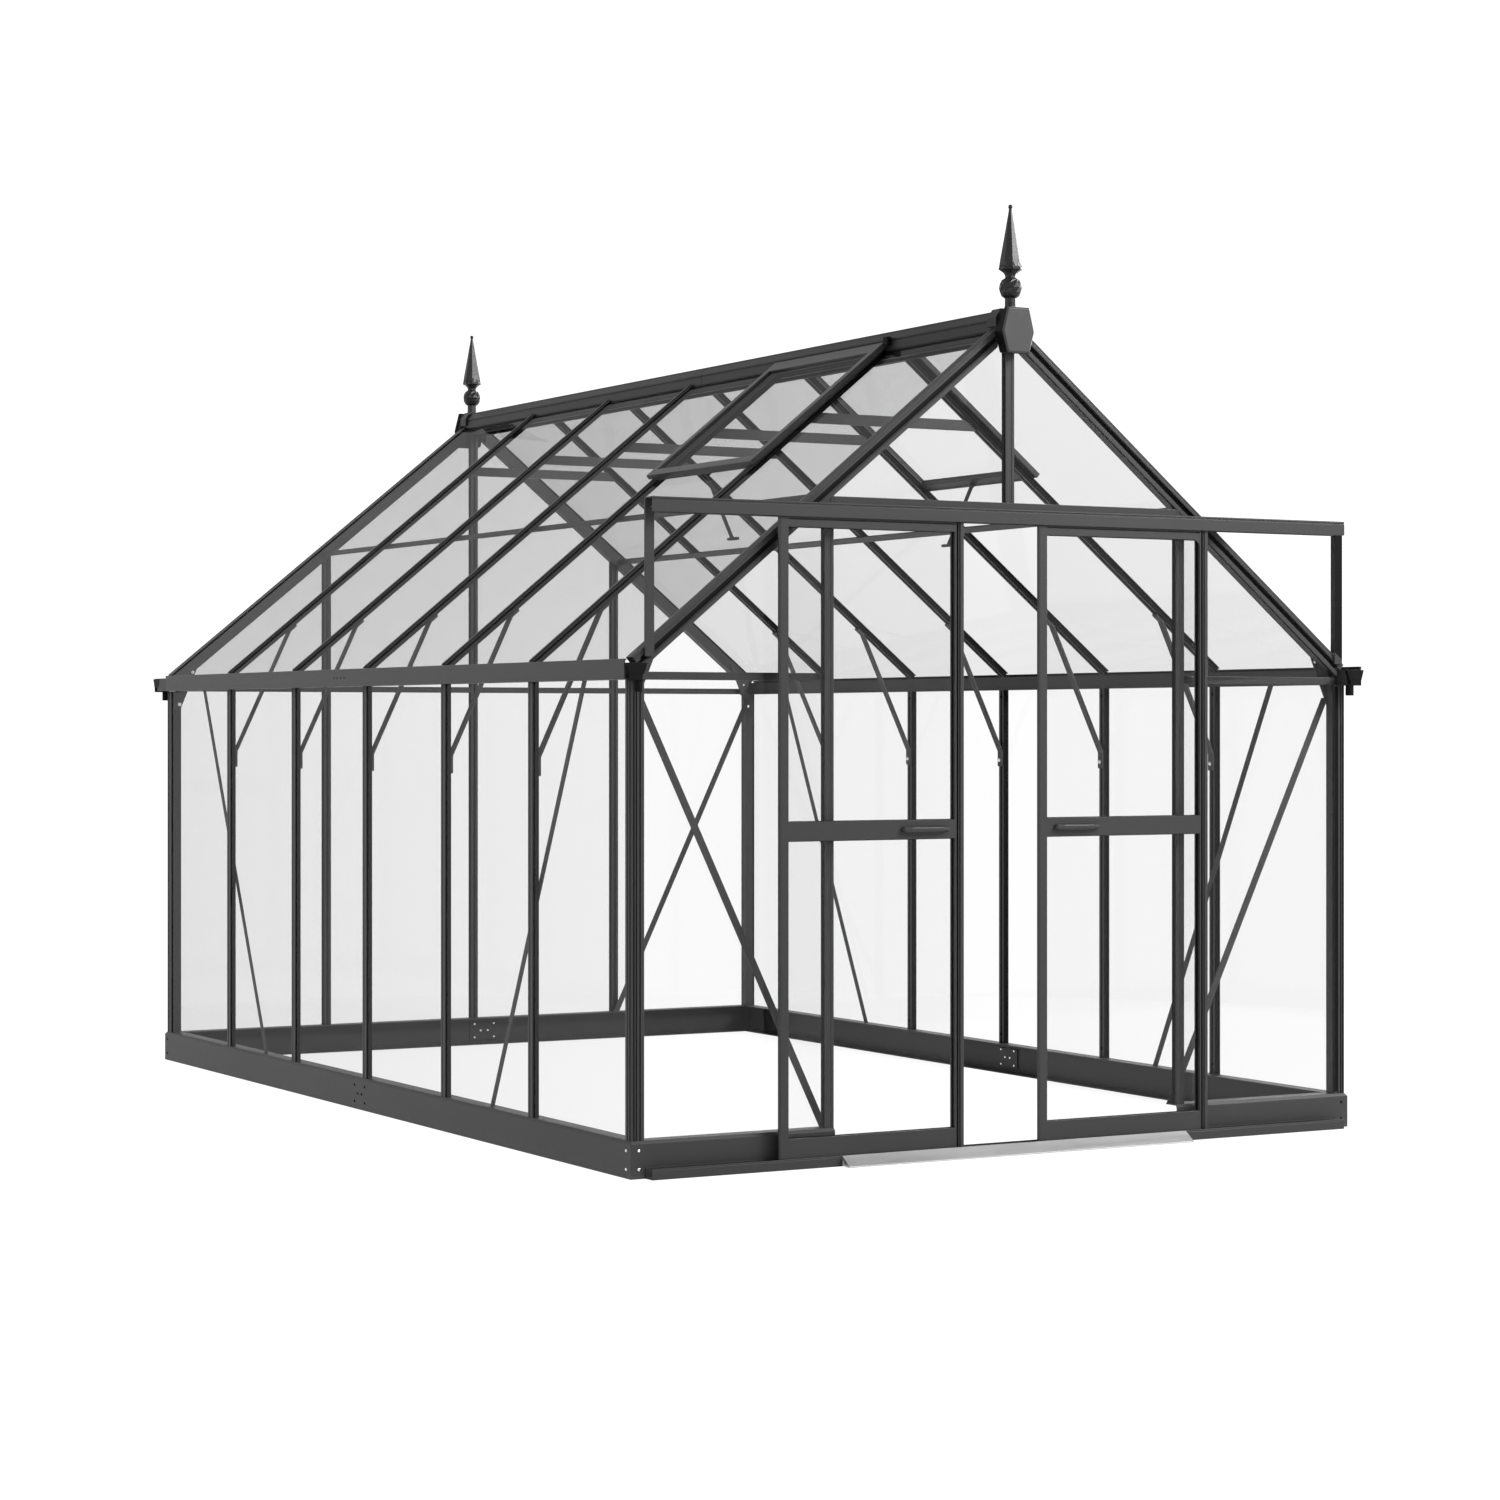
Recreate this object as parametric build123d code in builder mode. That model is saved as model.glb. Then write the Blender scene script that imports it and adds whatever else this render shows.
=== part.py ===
from build123d import *
from math import atan, cos, sin, sqrt
import os

os.makedirs("parts", exist_ok=True)

# plan and heights
bay = 610.0                  # spacing of the glazing bars
bays_wide = 4
bays_long = 6
side_margin = 22.0           # base face beyond the corner bar line, left and right
end_margin = 30.0            # the same, front and back
base_height = 103.0
base_skin = 4.0
base_flange = 56.0           # how far the base's flanges reach in
sill_fall = 8.0              # drop of the sloping sill
wall_inset = 7.0             # wall face behind the base face
eave_height = 1358.0         # underside of the gutters
roof_rise = 1000.5           # roof face, from the wall faces up to where its sides would meet
rafter_seat = 59.5           # roof face above the eaves, in line with the wall face

# glazing bars
cap_width = 31.0
cap_depth = 4.0
glass = 4.0
neck_width = 12.0
body_width = 31.0
bar_depth = 21.5
gable_rafter_depth = 45.0
edge_gap = 3.0               # pane edge to bar neck
post_width = 39.0
slot_depth = 14.0
fin_height = 3.5             # raised fin along the roof bars
fin_width = 12.0

# base, front to back middle of everything that stands on the ground
threshold_depth = 80.0            # ramp front ahead of the base
cap_reach = 40.0             # ridge caps beyond the base
base_half_x = bays_wide * bay / 2 + side_margin
base_half_y = bays_long * bay / 2 + end_margin
mid_y = (threshold_depth - cap_reach) / 2
wall_x = base_half_x - wall_inset
wall_y = base_half_y - wall_inset
front_y = mid_y - base_half_y
back_y = mid_y + base_half_y
gable_front = mid_y - wall_y
gable_back = mid_y + wall_y

# roof lines
roof_pitch = atan(roof_rise / wall_x)
drop = 1 / cos(roof_pitch)   # height taken by one millimetre of depth
fall = roof_rise / wall_x
roof_apex = eave_height + rafter_seat + roof_rise
ridge_half = 42.0
ridge_rise = 16.0
ridge_depth = 83.0
ridge_top = roof_apex + ridge_rise
ridge_foot = ridge_top - ridge_depth
rafter_short = 2.0
rafter_end = wall_x - rafter_short
side_stations = [mid_y + bay * k for k in (-2, -1, 0, 1, 2)]


def roof_z(x, depth=0.0):
    return roof_apex - depth * drop - fall * abs(x)


def cap_points():
    c, n, b = cap_width / 2, neck_width / 2, body_width / 2
    return [
        (-c, 0), (c, 0), (c, -cap_depth), (n, -cap_depth),
        (n, -cap_depth - glass), (b, -cap_depth - glass), (b, -bar_depth),
        (-b, -bar_depth), (-b, -cap_depth - glass), (-n, -cap_depth - glass),
        (-n, -cap_depth), (-c, -cap_depth),
    ]


def fin_points():
    f = fin_width / 2
    return [(-f, fin_height), (f, fin_height), (f, 0)] + cap_points()[1:] + [(-cap_width / 2, 0), (-f, 0)]


def run_section(points, start, outward, run, length):
    # a straight bar: section across the run, its outer face turned outward
    across = Vector(*outward).cross(Vector(*run))
    plane = Plane(origin=start, x_dir=across, z_dir=run)
    with BuildSketch(plane) as section:
        with BuildLine():
            Polyline(points, close=True)
        make_face()
    extrude(section.sketch, amount=length)


def slab(points, plane, thickness):
    with BuildSketch(plane) as outline:
        with BuildLine():
            Polyline(points, close=True)
        make_face()
    extrude(outline.sketch, amount=thickness)


def block(x0, x1, y0, y1, z0, z1):
    with Locations(((x0 + x1) / 2, (y0 + y1) / 2, (z0 + z1) / 2)):
        Box(x1 - x0, y1 - y0, z1 - z0)


def across_gable(y):
    # sketch plane facing the back, x to the right and y up, at depth y
    return Plane(origin=(0, y, 0), x_dir=(1, 0, 0), z_dir=(0, -1, 0))


def strip_points(path, thickness):
    # outline of a bent strip: the path and the same path moved to its left
    def normal(p, q):
        dx, dz = q[0] - p[0], q[1] - p[1]
        size = sqrt(dx * dx + dz * dz)
        return (-dz / size, dx / size)
    sides = [normal(path[i], path[i + 1]) for i in range(len(path) - 1)]
    moved = []
    for i, point in enumerate(path):
        a = sides[max(i - 1, 0)]
        b = sides[min(i, len(sides) - 1)]
        mx, mz = a[0] + b[0], a[1] + b[1]
        scale = 2 * thickness / (mx * mx + mz * mz)
        moved.append((point[0] + mx * scale, point[1] + mz * scale))
    return path + moved[::-1]


def mirrored(points):
    return [(-x, z) for x, z in points]


# ---- base ----
def base_points():
    t = base_skin
    return [
        (0, 0), (0, -base_flange), (t, -base_flange), (t, -t),
        (base_height - t - sill_fall, -t), (base_height - t, -wall_inset),
        (base_height - t, -base_flange), (base_height, -base_flange),
        (base_height, -wall_inset), (base_height - sill_fall, 0),
    ]


def mitre(x, y, nx, ny):
    split(bisect_by=Plane(origin=(x, y, 0), z_dir=(nx, ny, 0)), keep=Keep.BOTTOM)


door_post_inner = bay - cap_width / 2
with BuildPart() as base_left:
    run_section(base_points(), (-base_half_x, back_y, 0), (-1, 0, 0), (0, -1, 0), 2 * base_half_y)
    mitre(-base_half_x, front_y, 1, -1)
    mitre(-base_half_x, back_y, 1, 1)
with BuildPart() as base_right:
    mirror(base_left.part, about=Plane.YZ)
with BuildPart() as base_back:
    run_section(base_points(), (base_half_x, back_y, 0), (0, 1, 0), (-1, 0, 0), 2 * base_half_x)
    mitre(base_half_x, back_y, 1, -1)
    mitre(-base_half_x, back_y, -1, -1)
with BuildPart() as base_front:
    run_section(base_points(), (-base_half_x, front_y, 0), (0, -1, 0), (1, 0, 0), 2 * base_half_x)
    mitre(-base_half_x, front_y, -1, 1)
    mitre(base_half_x, front_y, 1, 1)
    with Locations((0, front_y, base_height / 2)):
        Box(2 * door_post_inner, 3 * base_flange, 2 * base_height, mode=Mode.SUBTRACT)

# plates that join the two lengths of the base's long and back sides
splice_length = 120.0
splice_height = 70.0
splice_depth = 4.0
splice_shift = {-1: 22.0, 1: -10.0}    # left and right splice, back from the middle
back_splice_shift = 51.0
with BuildPart() as base_splices:
    in_x = base_half_x - base_skin
    in_y = back_y - base_skin
    for side in (-1, 1):
        with Locations((side * (in_x - splice_depth / 2), mid_y + splice_shift[side], base_height / 2 - 3)):
            Box(splice_depth, splice_length, splice_height)
    with Locations((back_splice_shift, in_y - splice_depth / 2, base_height / 2 - 3)):
        Box(splice_length, splice_depth, splice_height)

# ---- walls ----
bar_height = eave_height - base_height
with BuildPart() as left_wall_bars:
    for y in side_stations:
        run_section(cap_points(), (-wall_x, y, base_height), (-1, 0, 0), (0, 0, 1), bar_height)
with BuildPart() as right_wall_bars:
    mirror(left_wall_bars.part, about=Plane.YZ)

inner = cap_depth + glass
with BuildPart() as corner_posts:
    for sx in (-1, 1):
        for sy in (-1, 1):
            with Locations((sx * (wall_x - post_width / 2), mid_y + sy * (wall_y - post_width / 2))):
                with Locations((0, 0, base_height + bar_height / 2)):
                    Box(post_width, post_width, bar_height)
            reach = post_width - slot_depth / 2
            slot = cap_depth + glass / 2
            with Locations((sx * (wall_x - reach), mid_y + sy * (wall_y - slot), base_height + bar_height / 2)):
                Box(slot_depth, glass, bar_height, mode=Mode.SUBTRACT)
            with Locations((sx * (wall_x - slot), mid_y + sy * (wall_y - reach), base_height + bar_height / 2)):
                Box(glass, slot_depth, bar_height, mode=Mode.SUBTRACT)


def under_roof(side):
    # trims a gable bar to the underside of the rafters
    slope = (side * sin(roof_pitch), 0, cos(roof_pitch))
    split(bisect_by=Plane(origin=(0, 0, roof_z(0, gable_rafter_depth)), z_dir=slope), keep=Keep.BOTTOM)


def under_ridge():
    split(bisect_by=Plane.XY.offset(ridge_foot), keep=Keep.BOTTOM)


def gable_bar(x, face, outward, foot):
    run_section(cap_points(), (x, face, foot), (0, outward, 0), (0, 0, 1), roof_apex - foot)


with BuildPart() as back_gable_bars:
    for x in (-bay, 0, bay):
        gable_bar(x, gable_back, 1, base_height)
    under_roof(-1)
    under_roof(1)
    under_ridge()

track_drop = 110.5           # foot of the top track under the roof face at the jambs
top_track_foot = roof_z(bay) - track_drop
header_lift = 5.0            # header above the foot of the top track
header_height = 59.0
header_foot = top_track_foot + header_lift
header_top = header_foot + header_height
with BuildPart() as front_gable_posts:
    for x in (-bay, bay):
        gable_bar(x, gable_front, -1, base_height)
    gable_bar(0, gable_front, -1, header_top)
    under_roof(-1)
    under_roof(1)
    under_ridge()

header_half = door_post_inner
with BuildPart() as door_header:
    block(-header_half, header_half, gable_front, gable_front + bar_depth, header_foot, header_top)

# ---- roof ----
def rafter(points, side, y):
    # from its square foot above the gutter to the upright face of the ridge
    run = (-side * cos(roof_pitch), 0, sin(roof_pitch))
    out = (side * sin(roof_pitch), 0, cos(roof_pitch))
    start = (side * rafter_end, y, roof_z(rafter_end))
    run_section(points, start, out, run, rafter_end / cos(roof_pitch) + bar_depth)


def cut_at_ridge(side):
    split(bisect_by=Plane(origin=(side * ridge_half, 0, 0), z_dir=(side, 0, 0)), keep=Keep.TOP)


with BuildPart() as left_roof_rafters:
    for y in side_stations:
        rafter(fin_points(), -1, y)
    cut_at_ridge(-1)
with BuildPart() as right_roof_rafters:
    mirror(left_roof_rafters.part, about=Plane.YZ)

gable_rafter_width = post_width
rail_short = 6.0             # gable rails stop this far inside the wall bars


def gable_rafter_points(side):
    # u runs from the gable face inward, with slots for the roof panes and the gable panes
    w, d = gable_rafter_width, gable_rafter_depth
    points = [
        (0, 0), (w, 0), (w, -cap_depth), (w - slot_depth, -cap_depth),
        (w - slot_depth, -cap_depth - glass), (w, -cap_depth - glass), (w, -d),
        (cap_depth + glass, -d), (cap_depth + glass, -d + slot_depth),
        (cap_depth, -d + slot_depth), (cap_depth, -d), (0, -d),
    ]
    return [(side * u, v) for u, v in points]


with BuildPart() as rafter_feet:    # cut off the gable rafters, which then sit on the gutters
    foot_in, foot_out = wall_x - bar_depth - rail_short, 2 * wall_x
    slab([
        (-foot_in, 0), (-foot_in, roof_z(foot_in, bar_depth)),
        (-foot_out, roof_z(foot_out, bar_depth)), (-foot_out, 0),
    ], across_gable(mid_y + wall_y), 2 * wall_y)

with BuildPart() as gable_rafters:
    rafter(gable_rafter_points(1), -1, gable_front)
    rafter(gable_rafter_points(-1), -1, gable_back)
    cut_at_ridge(-1)
    add(rafter_feet.part, mode=Mode.SUBTRACT)
    mirror(about=Plane.YZ)

ridge_top_half = 26.0
ridge_bevel = 22.0
with BuildPart() as ridge:
    ridge_outline = [
        (-ridge_top_half, ridge_top), (ridge_top_half, ridge_top), (ridge_half, ridge_top - ridge_bevel),
        (ridge_half, ridge_foot), (-ridge_half, ridge_foot), (-ridge_half, ridge_top - ridge_bevel),
    ]
    slab(ridge_outline, across_gable(gable_back), 2 * wall_y)

cap_over = 6.0              # ridge cap above the ridge
cap_under = 44.0            # below the ridge's foot
cap_foot = ridge_foot - cap_under
cap_top = ridge_top + cap_over
cap_waist_drop = 4.5
cap_waist = (cap_foot + cap_top) / 2 - cap_waist_drop
cap_half = 38.0
cap_waist_half = 56.0
cap_length = cap_reach + wall_inset
with BuildPart() as ridge_caps:
    cap_outline = [
        (-cap_half, cap_foot), (cap_half, cap_foot), (cap_waist_half, cap_waist),
        (cap_half, cap_top), (-cap_half, cap_top), (-cap_waist_half, cap_waist),
    ]
    slab(cap_outline, across_gable(gable_front), cap_length)
    slab(cap_outline, across_gable(gable_back + cap_length), cap_length)

finial_sections = [
    (0.0, 33.0), (22.0, 33.0), (31.0, 40.0), (40.0, 58.0), (50.0, 63.5), (68.0, 63.5), (80.0, 52.0),
    (89.0, 30.0), (95.0, 30.0), (112.0, 65.0), (116.0, 65.0), (280.0, 10.5), (290.0, 9.0),
]
tip_rise = 294.5
tip_radius = 6.5
finial_back_set = 45.0
with BuildPart() as finials:
    for y in (gable_front - cap_length + finial_back_set, gable_back + cap_length - finial_back_set):
        for low, high in zip(finial_sections[:-1], finial_sections[1:]):
            for z, across in (low, high):
                with BuildSketch(Plane(origin=(0, y, cap_top + z))):
                    RegularPolygon(radius=across / 2, side_count=8, major_radius=False)
            loft()
        with Locations((0, y, cap_top + tip_rise)):
            Sphere(tip_radius)

# ---- gutters ----
gutter_out = 41.0            # beyond the wall face
gutter_height = 56.0
gutter_skin = 4.0
gutter_lip = 8.0
seat_out = -14.0             # seat under the rafters, inside the wall face
plate_in = -bar_depth
gutter_past = 32.0           # gutter ends beyond the gable face
gutter_run = 2 * (wall_y + gutter_past)


def gutter_points():
    t = gutter_skin
    top = eave_height + gutter_height
    seat = roof_z(wall_x + seat_out, bar_depth)
    seat_in = roof_z(wall_x + seat_out - t, bar_depth)
    x0 = wall_x
    return [
        (x0 + plate_in, eave_height), (x0 + gutter_out, eave_height), (x0 + gutter_out, top),
        (x0 + gutter_out - gutter_lip, top), (x0 + gutter_out - gutter_lip, top - t),
        (x0 + gutter_out - t, top - t), (x0 + gutter_out - t, eave_height + t),
        (x0 + seat_out, eave_height + t), (x0 + seat_out, seat),
        (x0 + seat_out - t, seat_in), (x0 + seat_out - t, eave_height + t),
        (x0 + plate_in, eave_height + t),
    ]


with BuildPart() as right_gutter:
    slab(gutter_points(), across_gable(mid_y + gutter_run / 2), gutter_run)
with BuildPart() as left_gutter:
    mirror(right_gutter.part, about=Plane.YZ)

end_cap_thick = 13.0
end_cap_lap = 3.0
spout_radius = 12.5
spout_drop = 33.5
end_cap_low = 11.0           # cap below the gutter's rim
end_cap_narrow = 2.0         # cap inside the gutter's outer face
spout_in = 14.5              # inner edge of the spout from the gutter's end
spout_set = 4.0              # spout inside the wall face
with BuildPart() as gutter_end_caps:
    cap_x0 = wall_x + plate_in - end_cap_lap
    cap_x1 = wall_x + gutter_out - end_cap_narrow
    cap_z0 = eave_height - end_cap_lap
    cap_z1 = eave_height + gutter_height - end_cap_low
    spout_x = wall_x - spout_set
    for sx in (-1, 1):
        for sy in (-1, 1):
            end = mid_y + sy * gutter_run / 2
            with Locations((sx * (cap_x0 + cap_x1) / 2, end + sy * end_cap_thick / 2, (cap_z0 + cap_z1) / 2)):
                Box(cap_x1 - cap_x0, end_cap_thick, cap_z1 - cap_z0)
            with Locations((sx * spout_x, end - sy * (spout_in - end_cap_thick) / 2, eave_height - end_cap_lap / 2)):
                Box(2 * spout_radius + 8, spout_in + end_cap_thick, end_cap_lap)
            with Locations((sx * spout_x, end - sy * (spout_in - spout_radius), eave_height - spout_drop / 2)):
                Cylinder(spout_radius, spout_drop)
                Cylinder(spout_radius - 3, spout_drop, mode=Mode.SUBTRACT)

# ---- rails under the gables' upper panes ----
rail_height = 22.0
rail_inner = wall_x + plate_in - rail_short
with BuildPart() as eave_rails:
    rail_y0 = gable_front + cap_depth + glass
    rail_y1 = gable_back - cap_depth - glass
    post_edge = bay + body_width / 2
    for side in (-1, 1):
        x0, x1 = sorted((side * post_edge, side * rail_inner))
        block(x0, x1, rail_y0, gable_front + bar_depth, eave_height, eave_height + rail_height)
        block(x0, x1, gable_back - bar_depth, rail_y1, eave_height, eave_height + rail_height)
        x0, x1 = sorted((side * body_width / 2, side * (bay - body_width / 2)))
        block(x0, x1, gable_back - bar_depth, rail_y1, eave_height, eave_height + rail_height)

# ---- inside bracing ----
brace_width = 24.0
brace_depth = 8.0
wall_inside = wall_x - bar_depth
brace_drop = 271.0           # foot of a knee brace under the eaves
brace_heel = 55.0
brace_spread = 203.0
brace_toe = 25.0
brace_low = eave_height - brace_drop
brace_bend = brace_low + brace_heel
brace_top_x = wall_inside - brace_spread
brace_tail_x = brace_top_x - brace_toe
with BuildPart() as knee_braces:
    brace_path = [
        (wall_inside, brace_low), (wall_inside, brace_bend),
        (brace_top_x, roof_z(brace_top_x, bar_depth)), (brace_tail_x, roof_z(brace_tail_x, bar_depth)),
    ]
    for y in side_stations:
        slab(strip_points(brace_path, brace_depth), across_gable(y + brace_width / 2), brace_width)
        mirror_points = mirrored(strip_points(brace_path, brace_depth))
        slab(mirror_points, across_gable(y + brace_width / 2), brace_width)

tie_drop = 272.0             # foot of a collar tie under the roof's apex
tie_foot = roof_apex - tie_drop
tie_height = 32.0
tie_width = 20.0
with BuildPart() as collar_ties:
    under = roof_z(0, bar_depth)
    tie_low_x = (under - tie_foot) / fall
    tie_high_x = (under - tie_foot - tie_height) / fall
    tie_points = [
        (-tie_low_x, tie_foot), (tie_low_x, tie_foot),
        (tie_high_x, tie_foot + tie_height), (-tie_high_x, tie_foot + tie_height),
    ]
    for y in side_stations:
        slab(tie_points, across_gable(y + tie_width / 2), tie_width)

purlin_width = 26.0
purlin_out = 20.0            # purlins below the bars' quarter line
purlin_depth = 6.0
with BuildPart() as purlins:
    for side in (-1, 1):
        out = (side * sin(roof_pitch), 0, cos(roof_pitch))
        purlin_run = 2 * (wall_y - gable_rafter_width)
        purlin_x = bay + purlin_out
        start = (side * purlin_x, mid_y + side * purlin_run / 2, roof_z(purlin_x, bar_depth))
        flat = [
            (-purlin_width / 2, 0), (purlin_width / 2, 0),
            (purlin_width / 2, -purlin_depth), (-purlin_width / 2, -purlin_depth),
        ]
        run_section(flat, start, out, (0, -side, 0), purlin_run)

strap_width = 22.0
strap_depth = 3.0
gusset_depth = 3.0
gusset_drop = 66.0
gusset_spread = 115.0
gusset_inset = 8.0
gusset_lap = 20.0            # gussets up over the gable rafters
with BuildPart() as gable_gussets:
    gusset_low = eave_height - gusset_drop
    gusset_top_x = wall_x - gusset_spread
    gusset_edge = wall_x - gusset_inset
    gusset_under = gable_rafter_depth - gusset_lap
    gusset_points = [
        (gusset_edge, gusset_low), (gusset_edge, eave_height),
        (rail_inner, eave_height), (rail_inner, roof_z(rail_inner, gusset_under)),
        (gusset_top_x, roof_z(gusset_top_x, gusset_under)), (rail_inner - gusset_inset, gusset_low),
    ]
    for points in (gusset_points, mirrored(gusset_points)):
        slab(points, across_gable(gable_front + post_width + gusset_depth), gusset_depth)
        slab(points, across_gable(gable_back - post_width), gusset_depth)

strap_foot_y = 1.5 * bay     # wall straps run from mid-bay to mid-bay
strap_head_y = 2.5 * bay
strap_head = eave_height + gutter_skin
strap_rise = (strap_head - base_height) / (strap_head_y - strap_foot_y)
strap_half = strap_width * sqrt(1 + strap_rise * strap_rise) / strap_rise / 2
strap_foot_in = 5.0
strap_head_drop = 40.0
strap_foot_x = bay - strap_foot_in
strap_gable_head = eave_height - strap_head_drop
with BuildPart() as diagonal_braces:
    for side in (-1, 1):
        for end in (-1, 1):
            foot_y = mid_y + end * strap_foot_y
            head_y = mid_y + end * strap_head_y
            strap_points = [
                (foot_y - strap_half, base_height), (foot_y + strap_half, base_height),
                (head_y + strap_half, strap_head), (head_y - strap_half, strap_head),
            ]
            strap_plane = Plane(origin=(side * wall_inside, 0, 0), x_dir=(0, 1, 0), z_dir=(1, 0, 0))
            slab(strap_points, strap_plane, -side * strap_depth)
        strap_head_x = strap_foot_x + (strap_gable_head - base_height) / strap_rise
        strap_points = [
            (side * (strap_foot_x - strap_half), base_height), (side * (strap_foot_x + strap_half), base_height),
            (side * (strap_head_x + strap_half), strap_gable_head),
            (side * (strap_head_x - strap_half), strap_gable_head),
        ]
        strap_lift = post_width + gusset_depth
        slab(strap_points, across_gable(gable_front + strap_lift + strap_depth), strap_depth)
        if side > 0:
            slab(strap_points, across_gable(gable_back - strap_lift), strap_depth)

# ---- door tracks ----
track_end_in = 39.0          # track end inside the wall face
track_half = wall_x - track_end_in
track_depth = 40.0           # ahead of the base face
track_height = 30.0
track_skin = 3.0
rib_depth = 4.0
with BuildPart() as bottom_track:
    track_front = front_y - track_depth
    block(-track_half, track_half, track_front, front_y, 0, track_skin)
    block(-track_half, track_half, track_front, track_front + track_skin, 0, track_height)
    block(-track_half, track_half, front_y - track_skin, front_y, 0, track_height)

ramp_lap = 1.0
ramp_half = door_post_inner + ramp_lap
ramp_sheet = 3.0
with BuildPart() as door_ramp:
    ramp_points = [
        (front_y - threshold_depth, 0), (track_front, 0), (track_front, track_height),
        (front_y - threshold_depth, ramp_sheet),
    ]
    hollow_points = [
        (front_y - threshold_depth + 8 * ramp_sheet, 0), (track_front - ramp_sheet, 0),
        (track_front - ramp_sheet, track_height - 1.6 * ramp_sheet),
        (front_y - threshold_depth + 8 * ramp_sheet, ramp_sheet),
    ]
    ramp_plane = Plane(origin=(-ramp_half, 0, 0), x_dir=(0, 1, 0), z_dir=(1, 0, 0))
    slab(ramp_points, ramp_plane, 2 * ramp_half)
    with BuildSketch(ramp_plane) as ramp_hollow:
        with BuildLine():
            Polyline(hollow_points, close=True)
        make_face()
    extrude(amount=2 * ramp_half, mode=Mode.SUBTRACT)

top_track_height = 42.0
top_track_skin = 4.0
ledge_rise = 15.0
ledge_top = top_track_foot + ledge_rise
ledge_skin = 3.0
ledge_reach = 10.0
with BuildPart() as top_track:
    top_front = front_y - track_depth - 1
    top_z = top_track_foot + top_track_height
    block(-track_half, track_half, top_front, top_front + track_skin, top_track_foot, top_z)
    block(-track_half, track_half, top_front, gable_front, top_z - top_track_skin, top_z)
    block(-track_half, track_half, gable_front - top_track_skin, gable_front, top_track_foot, top_z)
    # ledge that the door wheels run on
    lip_inside = top_front + track_skin
    block(-track_half, track_half, lip_inside, lip_inside + ledge_reach, ledge_top - ledge_skin, ledge_top)

strut_spans = [(-1.0, 27.0), (4.0, -25.0)]    # left and right strut, inward of the track's end
strut_legs = [26.0, 13.0]    # back past the gable face
strut_depth = 7.0
strut_lap = 28.0             # strut down over the rafter's face
strut_foot = roof_z(track_half) - strut_lap
with BuildPart() as track_end_struts:
    for side, span, leg in zip((-1, 1), strut_spans, strut_legs):
        x0, x1 = sorted(side * (track_half - inward) for inward in span)
        block(x0, x1, gable_front - strut_depth, gable_front, strut_foot, top_z - top_track_skin)
        inner_x = x1 if side < 0 else x0 + track_skin
        block(inner_x - track_skin, inner_x, gable_front, gable_front + leg,
              roof_z(min(abs(x0), abs(x1))) + strut_lap, top_z - top_track_skin)
    with Locations((0, gable_front, top_track_foot + top_track_height / 2)):
        Box(2 * track_half, 2 * top_track_skin, top_track_height, mode=Mode.SUBTRACT)

# ---- panes ----
pane_low = base_height
side_edges = [mid_y - wall_y + post_width - slot_depth + edge_gap]
for y in side_stations:
    side_edges += [y - neck_width / 2 - edge_gap, y + neck_width / 2 + edge_gap]
side_edges.append(mid_y + wall_y - post_width + slot_depth - edge_gap)
with BuildPart() as left_wall_glass:
    for y0, y1 in zip(side_edges[0::2], side_edges[1::2]):
        block(-wall_x + cap_depth, -wall_x + inner, y0, y1, pane_low, eave_height)
with BuildPart() as right_wall_glass:
    mirror(left_wall_glass.part, about=Plane.YZ)


def slope_plane(depth):
    # on the right slope: x down the slope, y to the back, at a depth under the roof face
    out = Vector(sin(roof_pitch), 0, cos(roof_pitch))
    return Plane(origin=Vector(0, 0, roof_apex) - out * depth, x_dir=(cos(roof_pitch), 0, -sin(roof_pitch)), z_dir=out)


def slope_slab(s0, s1, y0, y1, depth, thickness):
    slab([(s0, y0), (s1, y0), (s1, y1), (s0, y1)], slope_plane(depth), thickness)


vent_bay = (side_stations[0], side_stations[1])
vent_lap = 27.0
vent_foot = 656.0
vent_pane_lap = 10.0
pane_top = (ridge_half + inner * sin(roof_pitch)) / cos(roof_pitch) + 0.3
pane_overhang = 12.0
pane_foot = (wall_x + pane_overhang) / cos(roof_pitch)
roof_edges = list(side_edges)
roof_edges[0] = gable_front + gable_rafter_width - slot_depth + edge_gap
roof_edges[-1] = gable_back - gable_rafter_width + slot_depth - edge_gap
with BuildPart() as right_roof_glass:
    for y0, y1 in zip(roof_edges[0::2], roof_edges[1::2]):
        in_vent = vent_bay[0] < y0 < vent_bay[1]
        top = vent_foot - vent_pane_lap if in_vent else pane_top
        slope_slab(top, pane_foot, y0, y1, inner, glass)
with BuildPart() as left_roof_glass:
    mirror(right_roof_glass.part, about=Plane.YZ)

rafter_bite = (slot_depth - edge_gap - 2) * drop
pane_split = 1.0


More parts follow.
